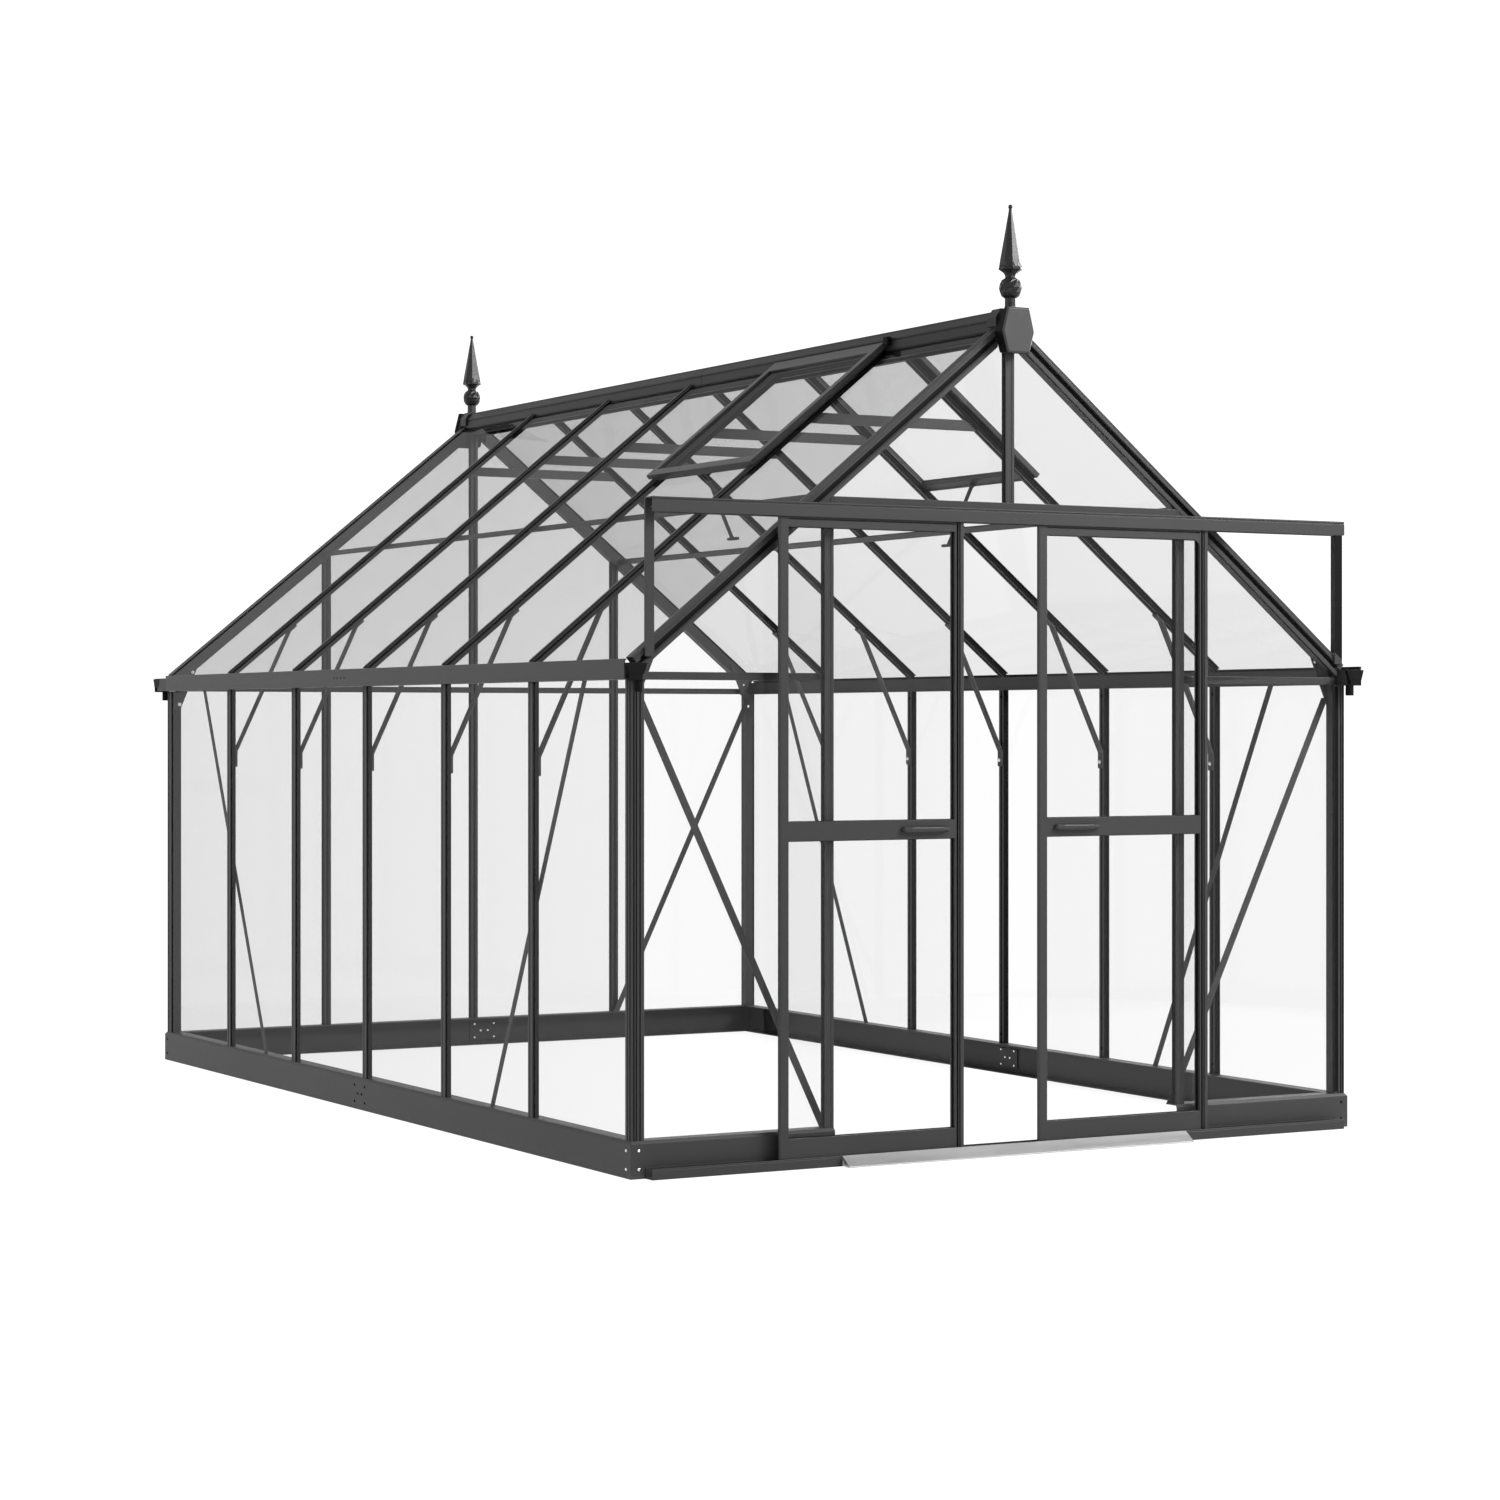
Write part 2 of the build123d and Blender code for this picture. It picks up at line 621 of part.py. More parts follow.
def gable_panes(y, low_bays, door_bays):
    # panes of one gable, right half then mirrored
    x_in, x_out = bay + neck_width / 2 + edge_gap, wall_x - post_width + slot_depth - edge_gap
    x_top = rail_inner - edge_gap
    mid_in, mid_out = neck_width / 2 + edge_gap, bay - neck_width / 2 - edge_gap
    up = eave_height + pane_split
    lower = [(x_in, pane_low), (x_out, pane_low), (x_out, eave_height), (x_in, eave_height)]
    upper = [
        (x_in, up), (x_top, up), (x_top, roof_z(x_top, gable_rafter_depth) + rafter_bite),
        (x_in, roof_z(x_in, gable_rafter_depth) + rafter_bite),
    ]
    foot = header_top if door_bays else up
    near_ridge = ridge_half - 1    # just clear of the rafters' ends
    middle = [
        (mid_in, foot), (mid_out, foot), (mid_out, roof_z(mid_out, gable_rafter_depth) + rafter_bite),
        (near_ridge, roof_z(near_ridge, gable_rafter_depth) + rafter_bite), (near_ridge, ridge_foot - 0.3),
        (mid_in, ridge_foot - 0.3),
    ]
    shapes = [lower, upper, middle]
    if not door_bays:
        shapes.append([(mid_in, pane_low), (mid_out, pane_low), (mid_out, eave_height), (mid_in, eave_height)])
    for points in shapes:
        slab(points, across_gable(y), glass)
        slab(mirrored(points), across_gable(y), glass)


with BuildPart() as front_gable_glass:
    gable_panes(gable_front + inner, False, True)
with BuildPart() as back_gable_glass:
    gable_panes(gable_back - cap_depth, True, False)

# ---- roof vents ----
vent_depth = 16.0
vent_stile = 30.0
vent_head = 50.0
vent_rail = 32.0
vent_top = (ridge_half - fin_height * sin(roof_pitch)) / cos(roof_pitch) + 0.4
vent_y0 = vent_bay[0] - vent_lap
vent_y1 = vent_bay[1] + vent_lap
with BuildPart() as vent_frames:
    slope_slab(vent_top, vent_foot, vent_y0, vent_y1, -fin_height, vent_depth)
    with BuildSketch(slope_plane(-fin_height)) as vent_opening:
        with Locations(((vent_top + vent_head + vent_foot - vent_rail) / 2, (vent_y0 + vent_y1) / 2)):
            Rectangle(vent_foot - vent_rail - vent_top - vent_head, vent_y1 - vent_y0 - 2 * vent_stile)
    extrude(amount=vent_depth, mode=Mode.SUBTRACT)
    sill_gap = cap_width / 2 + 1
    slope_slab(vent_foot - vent_rail, vent_foot, vent_bay[0] + sill_gap, vent_bay[1] - sill_gap,
               cap_depth, cap_depth + fin_height)
    mirror(about=Plane.YZ)
with BuildPart() as vent_glass:
    slope_slab(vent_top + vent_head, vent_foot - vent_rail, vent_y0 + vent_stile, vent_y1 - vent_stile,
               -fin_height - vent_depth / 2 + glass / 2, glass)
    mirror(about=Plane.YZ)

stay_width = 16.0
stay_depth = 5.0
stay_bar = 60.0
stay_margin = 2.0
bracket_size = 18.0
stay_drop = 199.5
stay_in = 92.0
stay_mid = (vent_bay[0] + vent_bay[1]) / 2
with BuildPart() as vent_stays:
    bracket_s = vent_foot - vent_rail + stay_margin
    slope_slab(bracket_s, bracket_s + bracket_size, stay_mid - stay_width / 2, stay_mid + stay_width / 2,
               bracket_size + cap_depth, bracket_size)
    pin_s = bracket_s + bracket_size / 2
    pin_depth = cap_depth + bracket_size / 2
    stay_x = pin_s * cos(roof_pitch) - pin_depth * sin(roof_pitch)
    stay_z = roof_apex - pin_s * sin(roof_pitch) - pin_depth * cos(roof_pitch)
    stay_end = (stay_x - stay_in, stay_z - stay_drop)
    slab(strip_points([(stay_x, stay_z), stay_end], stay_depth), across_gable(stay_mid + stay_width / 2), stay_width)
    with Locations(Location((stay_end[0], stay_mid, stay_end[1]), (90, 0, 0))):
        Cylinder(stay_depth, stay_bar)
    mirror(about=Plane.YZ)

# ---- sliding doors ----
door_width = bay
door_depth = 26.0
door_set = 33.0              # door face ahead of the base face
door_dip = 6.0               # door foot down inside the bottom track
door_over = 10.0             # gap under the wheel ledge's top
door_front = front_y - door_set
door_foot = track_height - door_dip
door_top = ledge_top - door_over
door_gap = 6.0               # between the shut doors
left_open = 182.0            # how far each door stands open
right_open = 69.5
stile = 30.5
edge_plate = 8.0             # front of the stiles, proud of the box behind it
edge_step = 12.0
foot_rail = 61.0
mid_rail_rise = 887.0        # from the door's foot to its middle rail
mid_rail_foot = door_foot + mid_rail_rise
mid_rail = 54.0
head_rail = 33.0
wheel_radius = 7.0
wheel_width = 8.0
wheel_gap = 0.3              # wheel to the ledge
axle_radius = 2.5
hanger_width = 30.0
hanger_depth = 4.0
hanger_set = 60.0            # hanger middle to door edge
lug_width = 24.0
lug_depth = 12.0
lug_lift = 5.0               # lug to the floor of the bottom track
handle_length = 158.0
handle_height = 22.0
handle_stand = 16.0
handle_bar = 6.0
handle_foot = 14.0
handle_from_edge = 53.5


def door_frame(x0):
    block(x0, x0 + door_width, door_front, door_front + edge_plate, door_foot, door_top)
    block(x0 + edge_step, x0 + door_width - edge_step, door_front + edge_plate, door_front + door_depth,
          door_foot, door_top)
    for low, high in door_lights:
        with Locations((x0 + door_width / 2, door_front + door_depth / 2, (low + high) / 2)):
            Box(door_width - 2 * stile, door_depth, high - low, mode=Mode.SUBTRACT)


    # hangers above, guide lugs below
    middle = door_front + door_depth / 2
    wheel_z = ledge_top + wheel_gap + wheel_radius
    wheel_y = lip_inside + ledge_reach - wheel_width / 2 - 1
    for x in (x0 + hanger_set, x0 + door_width - hanger_set):
        block(x - hanger_width / 2, x + hanger_width / 2, middle - hanger_depth / 2,
              middle + hanger_depth / 2, door_top, wheel_z + 1.2 * wheel_radius)
        with Locations(Location((x, wheel_y, wheel_z), (90, 0, 0))):
            Cylinder(wheel_radius, wheel_width)
        with Locations(Location((x, (wheel_y + middle) / 2, wheel_z), (90, 0, 0))):
            Cylinder(axle_radius, middle - wheel_y)
        block(x - lug_width / 2, x + lug_width / 2, middle - lug_depth / 2, middle + lug_depth / 2,
              track_skin + lug_lift, door_foot)


def door_panes(x0):
    for low, high in door_lights:
        middle = door_front + door_depth / 2
        block(x0 + stile, x0 + door_width - stile, middle - glass / 2, middle + glass / 2, low, high)


def door_handle(x0):
    z = mid_rail_foot + mid_rail / 2
    block(x0, x0 + handle_length, door_front - handle_stand, door_front - handle_stand + handle_bar,
          z - handle_height / 2, z + handle_height / 2)
    for x in (x0, x0 + handle_length - handle_foot):
        block(x, x + handle_foot, door_front - handle_stand, door_front, z - handle_height / 2, z + handle_height / 2)


door_lights = [
    (door_foot + foot_rail, mid_rail_foot),
    (mid_rail_foot + mid_rail, door_top - head_rail),
]
left_x = -door_gap / 2 - door_width - left_open
right_x = door_gap / 2 + right_open
with BuildPart() as left_door_frame:
    door_frame(left_x)
with BuildPart() as left_door_glass:
    door_panes(left_x)
with BuildPart() as left_door_handle:
    door_handle(left_x + door_width - handle_from_edge - handle_length)
with BuildPart() as right_door_frame:
    door_frame(right_x)
with BuildPart() as right_door_glass:
    door_panes(right_x)
with BuildPart() as right_door_handle:
    door_handle(right_x + handle_from_edge)

pieces = {
    "base_front": base_front, "base_back": base_back, "base_left": base_left, "base_right": base_right,
    "base_splices": base_splices, "bottom_track": bottom_track, "door_ramp": door_ramp,
    "top_track": top_track, "track_end_struts": track_end_struts, "corner_posts": corner_posts,
    "left_wall_bars": left_wall_bars, "right_wall_bars": right_wall_bars,
    "back_gable_bars": back_gable_bars, "front_gable_posts": front_gable_posts,
    "door_header": door_header, "eave_rails": eave_rails, "left_gutter": left_gutter,
    "right_gutter": right_gutter, "gutter_end_caps": gutter_end_caps, "gable_rafters": gable_rafters,
    "left_roof_rafters": left_roof_rafters, "right_roof_rafters": right_roof_rafters, "ridge": ridge,
    "ridge_caps": ridge_caps, "finials": finials, "vent_frames": vent_frames, "vent_glass": vent_glass,
    "vent_stays": vent_stays, "knee_braces": knee_braces, "collar_ties": collar_ties, "purlins": purlins,
    "diagonal_braces": diagonal_braces, "gable_gussets": gable_gussets,
    "left_wall_glass": left_wall_glass, "right_wall_glass": right_wall_glass,
    "left_roof_glass": left_roof_glass, "right_roof_glass": right_roof_glass,
    "front_gable_glass": front_gable_glass, "back_gable_glass": back_gable_glass,
    "left_door_frame": left_door_frame, "left_door_glass": left_door_glass,
    "left_door_handle": left_door_handle, "right_door_frame": right_door_frame,
    "right_door_glass": right_door_glass, "right_door_handle": right_door_handle,
}
for name, piece in pieces.items():
    piece.part.label = name
    export_step(piece.part, "parts/" + name + ".step")
    box = piece.part.bounding_box()
    print(name, len(piece.part.solids()), round(piece.part.volume / 1e3), box.min, box.max)
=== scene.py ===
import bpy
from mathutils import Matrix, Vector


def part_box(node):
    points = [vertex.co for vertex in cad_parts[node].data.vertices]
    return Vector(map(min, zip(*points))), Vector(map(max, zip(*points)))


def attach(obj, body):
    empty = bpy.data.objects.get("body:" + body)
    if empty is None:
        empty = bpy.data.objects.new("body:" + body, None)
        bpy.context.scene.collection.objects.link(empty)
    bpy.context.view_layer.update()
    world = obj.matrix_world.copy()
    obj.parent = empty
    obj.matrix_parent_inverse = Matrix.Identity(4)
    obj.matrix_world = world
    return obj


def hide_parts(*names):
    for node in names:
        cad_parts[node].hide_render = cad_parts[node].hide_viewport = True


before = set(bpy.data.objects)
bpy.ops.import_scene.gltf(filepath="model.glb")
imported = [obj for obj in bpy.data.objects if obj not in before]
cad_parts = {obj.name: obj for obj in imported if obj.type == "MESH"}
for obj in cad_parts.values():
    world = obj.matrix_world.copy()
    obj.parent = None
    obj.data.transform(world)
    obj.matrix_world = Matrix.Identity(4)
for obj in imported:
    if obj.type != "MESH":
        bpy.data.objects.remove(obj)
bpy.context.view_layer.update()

import math

import bmesh
import bpy
from mathutils import Matrix, Vector

scene = bpy.context.scene
mm = 0.001
print("greenhouse: frame loaded")


# node trees written as sums

class Wire:  # one socket of a node tree, ready for sums
    def __init__(self, bench, socket):
        self.bench, self.socket = bench, socket

    def sum(self, operation, first, second):
        return self.bench.node("ShaderNodeMath", {"operation": operation}, {0: first, 1: second})

    def __add__(self, other):
        return self.sum("ADD", self, other)

    def __radd__(self, other):
        return self.sum("ADD", other, self)

    def __sub__(self, other):
        return self.sum("SUBTRACT", self, other)

    def __rsub__(self, other):
        return self.sum("SUBTRACT", other, self)

    def __mul__(self, other):
        return self.sum("MULTIPLY", self, other)

    def __rmul__(self, other):
        return self.sum("MULTIPLY", other, self)

    def __truediv__(self, other):
        return self.sum("DIVIDE", self, other)

    def held(self, low=0.0, high=1.0):  # kept between two values
        return self.bench.node("ShaderNodeClamp", {}, {"Value": self, "Min": low, "Max": high})


class Bench:  # makes nodes in one tree
    def __init__(self, tree):
        self.tree = tree

    def node(self, kind, settings=None, sockets=None, out=0):
        made = self.tree.nodes.new(kind)
        for key, value in (settings or {}).items():
            if key == "stops":
                ramp = made.color_ramp
                for element, (place, tone) in zip(ramp.elements, value):
                    element.position, element.color = place, tone
                for place, tone in value[2:]:
                    ramp.elements.new(place).color = tone
            else:
                setattr(made, key, value)
        for key, value in (sockets or {}).items():
            if isinstance(value, Wire):
                self.tree.links.new(value.socket, made.inputs[key])
            else:
                made.inputs[key].default_value = value
        return Wire(self, made.outputs[out]) if len(made.outputs) else made

    def blend(self, share, first, second):  # mixes two colours
        return self.node("ShaderNodeMix", {"data_type": "RGBA"}, {0: share, 6: first, 7: second}, out=2)

    def cloud(self, place, scale, detail=2.0):
        return self.node("ShaderNodeTexNoise", {}, {"Vector": place, "Scale": scale, "Detail": detail})

    def relief(self, height, strength, distance):
        return self.node("ShaderNodeBump", {}, {"Strength": strength, "Distance": distance, "Height": height},
                         out="Normal")

    def surface(self, tone, rough, normal, more):
        return self.node("ShaderNodeBsdfPrincipled", {}, {
            "Base Color": tone, "Roughness": rough, "Normal": normal, **more})


def newFinish(name):  # an empty material, its bench and the place on the piece
    material = bpy.data.materials.new(name)
    material.use_nodes = True
    material.node_tree.nodes.clear()
    bench = Bench(material.node_tree)
    return material, bench, bench.node("ShaderNodeTexCoord", out="Object")


def endFinish(material, bench, shader):
    bench.node("ShaderNodeOutputMaterial", {}, {"Surface": shader})
    return material


def grey(level, warm=0.0):
    return (level * (1 + warm), level, level * (1 - warm), 1.0)


# finishes

coats = {
    "frameCoat": {"tone": 0.030, "drift": 0.16, "rough": 0.40, "peel": 620.0, "depth": 0.10, "dust": 0.0},
    "baseCoat": {"tone": 0.031, "drift": 0.18, "rough": 0.44, "peel": 620.0, "depth": 0.10, "dust": 0.10},
    "braceCoat": {"tone": 0.040, "drift": 0.16, "rough": 0.42, "peel": 760.0, "depth": 0.10, "dust": 0.0},
    "crestingCoat": {"tone": 0.040, "drift": 0.20, "rough": 0.34, "peel": 420.0, "depth": 0.14, "dust": 0.0},
    "ridgeCoat": {"tone": 0.013, "drift": 0.20, "rough": 0.42, "peel": 620.0, "depth": 0.10, "dust": 0.0},
    "finialCoat": {"tone": 0.013, "drift": 0.20, "rough": 0.30, "peel": 420.0, "depth": 0.12, "dust": 0.0},
    "handleCoat": {"tone": 0.030, "drift": 0.14, "rough": 0.38, "peel": 800.0, "depth": 0.10, "dust": 0.0},
}
coatGrain = {"drift": 1.7, "fleck": 210.0, "relief": 0.0004, "shine": 0.19, "dustTop": 0.045,
             "dustGrain": 34.0, "dustTone": 0.22}


def powderCoat(name, look):  # satin powder coating with a fine orange-peel skin
    material, bench, place = newFinish(name)
    grain = coatGrain
    drift = bench.cloud(place, grain["drift"], 4.0)
    fleck = bench.cloud(place, grain["fleck"])
    dark, light = (grey(look["tone"] * (1 + way * look["drift"])) for way in (-1, 1))
    tone = bench.blend((drift * 0.7 + fleck * 0.3).held(), dark, light)
    if look["dust"]:  # a little pale dust low on the plinth
        height = bench.node("ShaderNodeSeparateXYZ", {}, {0: place}, out="Z")
        patches = (bench.cloud(place, grain["dustGrain"], 5.0) * 1.6 - 0.4).held()
        low = ((grain["dustTop"] - height) * 22.0).held() * patches
        tone = bench.blend(low * look["dust"], tone, grey(grain["dustTone"], 0.05))
    rough = fleck * 0.16 + drift * 0.10 + (look["rough"] - 0.13)
    peel = bench.relief(bench.cloud(place, look["peel"], 1.5), look["depth"], grain["relief"])
    coat = bench.surface(tone, rough, peel, {"Specular IOR Level": grain["shine"]})
    return endFinish(material, bench, coat)


metals = {
    "millAluminium": {"dark": 0.40, "light": 0.48, "rough": 0.40, "across": (2.0, 260.0, 260.0)},
    "zincSteel": {"dark": 0.80, "light": 0.94, "rough": 0.28, "across": (90.0, 90.0, 90.0)},
}
metalGrain = {"drift": 5.0, "depth": 0.12, "relief": 0.0002}


def brushedMetal(name, look):
    material, bench, place = newFinish(name)
    drawn = bench.node("ShaderNodeMapping", {}, {"Vector": place, "Scale": look["across"]})
    lines = bench.cloud(drawn, 1.0, 4.0)
    drift = bench.cloud(place, metalGrain["drift"], 3.0)
    tone = bench.blend((lines * 0.6 + drift * 0.4).held(), grey(look["dark"]), grey(look["light"]))
    rough = lines * 0.18 + drift * 0.08 + (look["rough"] - 0.13)
    bump = bench.relief(lines, metalGrain["depth"], metalGrain["relief"])
    return endFinish(material, bench, bench.surface(tone, rough, bump, {"Metallic": 1.0}))


plastics = {
    "blackPlastic": {"tone": 0.004, "rough": 0.50, "grain": 900.0, "depth": 0.12},
    "glazingSeal": {"tone": 0.005, "rough": 0.62, "grain": 1400.0, "depth": 0.10},
}
plasticGrain = {"drift": 9.0, "relief": 0.0003, "shine": 0.05}


def mouldedPlastic(name, look):
    material, bench, place = newFinish(name)
    grain = bench.node("ShaderNodeTexVoronoi", {}, {"Vector": place, "Scale": look["grain"]})
    drift = bench.cloud(place, plasticGrain["drift"], 3.0)
    tone = bench.blend(drift, grey(look["tone"] * 0.8), grey(look["tone"] * 1.3))
    bump = bench.relief(grain, look["depth"], plasticGrain["relief"])
    return endFinish(material, bench, bench.surface(tone, drift * 0.14 + (look["rough"] - 0.07), bump, {
        "Specular IOR Level": plasticGrain["shine"]}))


glassLook = {"tint": 0.99, "index": 1.52, "wave": 1.1, "ripple": 0.012, "relief": 0.002, "mirror": 0.17,
             "edge": 0.4, "rough": 0.03}


def clearGlass(name, look):  # thin pane: see-through, with the two faces' reflection on the outer one
    material, bench, place = newFinish(name)
    bump = bench.relief(bench.cloud(place, look["wave"]), look["ripple"], look["relief"])
    one = bench.node("ShaderNodeFresnel", {}, {"IOR": look["index"]})
    behind = bench.node("ShaderNodeNewGeometry", out="Backfacing")
    share = (2.0 * one / (1.0 + one) * (1.0 - behind)).held()
    through = bench.node("ShaderNodeBsdfTransparent", {}, {"Color": grey(look["tint"])})
    gloss = bench.surface(grey(look["mirror"]), look["rough"], bump, {
        "Metallic": 1.0, "Specular Tint": grey(look["edge"])})
    return endFinish(material, bench, bench.node("ShaderNodeMixShader", {}, {0: share, 1: through, 2: gloss}))


finishes = {name: powderCoat(name, look) for name, look in coats.items()}
finishes.update({name: brushedMetal(name, look) for name, look in metals.items()})
finishes.update({name: mouldedPlastic(name, look) for name, look in plastics.items()})
finishes["clearGlass"] = clearGlass("clearGlass", glassLook)
slotOf = {
    "frameCoat": "frame_coat", "baseCoat": "base_coat", "braceCoat": "brace_coat",
    "crestingCoat": "cresting_coat", "ridgeCoat": "frame_coat", "finialCoat": "cresting_coat",
    "handleCoat": "handle_coat", "millAluminium": "mill_aluminium",
    "blackPlastic": "black_plastic", "clearGlass": "glass",
}
print("greenhouse: finishes made")


# solids, in millimetres

packedLook = {"weld": 0.00002, "flat": 0.5}  # metres and degrees
edgeLook = {"segments": 2, "angle": 28}


def boxOf(node):
    low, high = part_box(node)
    return [c / mm for c in low], [c / mm for c in high]


def turned(across, out, along):
    return [Vector(v).normalized() for v in (across, out, along)]


class Solid:  # a mesh under way
    def __init__(self):
        self.shape = bmesh.new()

    def skin(self, rings, mark=0):  # rings joined in turn and closed at both ends
        rows = [[self.shape.verts.new(Vector(spot) * mm) for spot in ring] for ring in rings]
        made = []
        for low, high in zip(rows[:-1], rows[1:]):
            count = len(low)
            for i in range(count):
                j = (i + 1) % count
                made.append(self.shape.faces.new((low[i], low[j], high[j], high[i])))
        made.append(self.shape.faces.new(rows[0][::-1]))
        made.append(self.shape.faces.new(rows[-1]))
        for face in made:
            face.material_index = mark

    def run(self, section, at, across, out, along, start, end, mark=0):
        # a straight length of one section; an end is a distance or a cutting plane (point, normal)
        at, (across, out, along) = Vector(at), turned(across, out, along)
        rings = []
        for stop in (start, end):
            ring = []
            for u, v in section:
                spot = at + across * u + out * v
                if isinstance(stop, tuple):
                    point, normal = Vector(stop[0]), Vector(stop[1])
                    ring.append(spot + along * ((point - spot).dot(normal) / along.dot(normal)))
                else:
                    ring.append(spot + along * stop)
            rings.append(ring)
        self.skin(rings, mark)

    def block(self, x0, x1, y0, y1, z0, z1, mark=0):
        corners = [(x0, y0), (x1, y0), (x1, y1), (x0, y1)]
        self.skin([[(x, y, z) for x, y in corners] for z in (z0, z1)], mark)

    def slab(self, outline, y0, y1, mark=0, sx=1):  # an outline in (x, z), carried from y0 to y1
        self.skin([[(sx * x, y, z) for x, z in outline] for y in (y0, y1)], mark)

    def turnedPart(self, profile, centre, axis, sides=24, mark=0, twists=(0.0,)):
        # profile of (distance along the axis, radius); the rings take the twists in turn, in sides
        axis = Vector(axis).normalized()
        side = axis.orthogonal().normalized() if abs(axis.z) < 0.9 else Vector((1, 0, 0))
        other = axis.cross(side)
        rings = []
        for k, (far, radius) in enumerate(profile):
            shift = twists[k % len(twists)]
            rings.append([
                Vector(centre) + axis * far
                + (side * math.cos(a) + other * math.sin(a)) * radius
                for a in (2 * math.pi * (i + shift) / sides for i in range(sides))])
        self.skin(rings, mark)

    def packed(self, node):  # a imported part's own mesh, made whole
        shape = self.shape
        shape.from_mesh(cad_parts[node].data)
        bmesh.ops.remove_doubles(shape, verts=shape.verts, dist=packedLook["weld"])
        bmesh.ops.dissolve_limit(shape, angle_limit=math.radians(packedLook["flat"]), verts=shape.verts,
                                 edges=shape.edges)


def soften(piece, soft):  # rounds the sharp edges a little
    if soft:
        edge = piece.modifiers.new("softEdge", "BEVEL")
        edge.width, edge.segments = soft * mm, edgeLook["segments"]
        edge.limit_method, edge.angle_limit = "ANGLE", math.radians(edgeLook["angle"])
    return piece


def place(name, solid, marks, body="frame", stands=(), soft=0.7):
    # turns a solid into a piece that rides on a body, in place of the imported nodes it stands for
    bmesh.ops.recalc_face_normals(solid.shape, faces=solid.shape.faces)
    mesh = bpy.data.meshes.new(name)
    solid.shape.to_mesh(mesh)
    solid.shape.free()
    piece = bpy.data.objects.new(name, mesh)
    scene.collection.objects.link(piece)
    for mark in marks:
        mesh.materials.append(finishes[mark])
    return settle(soften(piece, soft), marks[0], body, stands)


def placePacked(name, node, mark, soft=0.7):
    solid = Solid()
    solid.packed(node)
    place(name, solid, [mark], stands=[node], soft=soft)


def settle(piece, mark, body, stands):
    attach(piece, body)
    if stands:
        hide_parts(*stands)
    mark in slotOf
    return piece


# geometry trees

class Tree(Bench):
    def __init__(self, name, inputs):
        tree = bpy.data.node_groups.new(name, "GeometryNodeTree")
        super().__init__(tree)
        self.sockets = {"Geometry": tree.interface.new_socket("Geometry", in_out="INPUT",
                                                              socket_type="NodeSocketGeometry")}
        tree.interface.new_socket("Geometry", in_out="OUTPUT", socket_type="NodeSocketGeometry")
        for label, kind in {**inputs, "Finish": "Material"}.items():
            self.sockets[label] = tree.interface.new_socket(label, in_out="INPUT",
                                                            socket_type="NodeSocket" + kind)
        self.source = tree.nodes.new("NodeGroupInput")

    def given(self, label):
        return Wire(self, self.source.outputs[label])

    def finish(self, shape):
        solidShape = self.node("GeometryNodeRealizeInstances", {}, {0: shape})
        painted = self.node("GeometryNodeSetMaterial", {}, {"Geometry": solidShape,
                                                            "Material": self.given("Finish")})
        end = self.tree.nodes.new("NodeGroupOutput")
        self.tree.links.new(painted.socket, end.inputs[0])


def grown(name, mesh, tree, values, mark, body, stands=()):
    # runs a geometry tree on a mesh and keeps the plain result
    source = bpy.data.objects.new(name + "Source", mesh)
    scene.collection.objects.link(source)
    modifier = source.modifiers.new("grow", "NODES")
    modifier.node_group = tree.tree
    for label, value in {**values, "Finish": finishes[mark]}.items():
        modifier[tree.sockets[label].identifier] = value
    bpy.context.view_layer.update()
    result = bpy.data.meshes.new_from_object(source.evaluated_get(bpy.context.evaluated_depsgraph_get()))
    source.modifiers.clear()
    bpy.data.objects.remove(source)
    result.name = name
    if not result.materials:
        result.materials.append(finishes[mark])
    for face in result.polygons:
        face.use_smooth = False
    piece = bpy.data.objects.new(name, result)
    scene.collection.objects.link(piece)
    return settle(piece, mark, body, stands)


def makeRunTree():  # one section, drawn out and repeated at even steps
    tree = Tree("repeatedRuns", {"Count": "Int", "Step": "Vector", "Run": "Vector"})
    section = tree.given("Geometry")
    drawn = tree.node("GeometryNodeExtrudeMesh", {"mode": "FACES"}, {
        "Mesh": section, "Offset": tree.given("Run"), "Offset Scale": 1.0, "Individual": False}, out="Mesh")
    foot = tree.node("GeometryNodeFlipFaces", {}, {"Mesh": section})
    whole = tree.node("GeometryNodeJoinGeometry")
    for part in (drawn, foot):
        tree.tree.links.new(part.socket, whole.socket.node.inputs[0])
    welded = tree.node("GeometryNodeMergeByDistance", {}, {"Geometry": whole, "Distance": 0.00001})
    line = tree.node("GeometryNodeMeshLine", {"mode": "OFFSET"}, {"Count": tree.given("Count"),
                                                                  "Offset": tree.given("Step")})
    row = tree.node("GeometryNodeInstanceOnPoints", {}, {"Points": line, "Instance": welded})
    tree.finish(row)
    return tree


fixingSizes = ("Head Radius", "Head Height", "Washer Radius", "Washer Height")


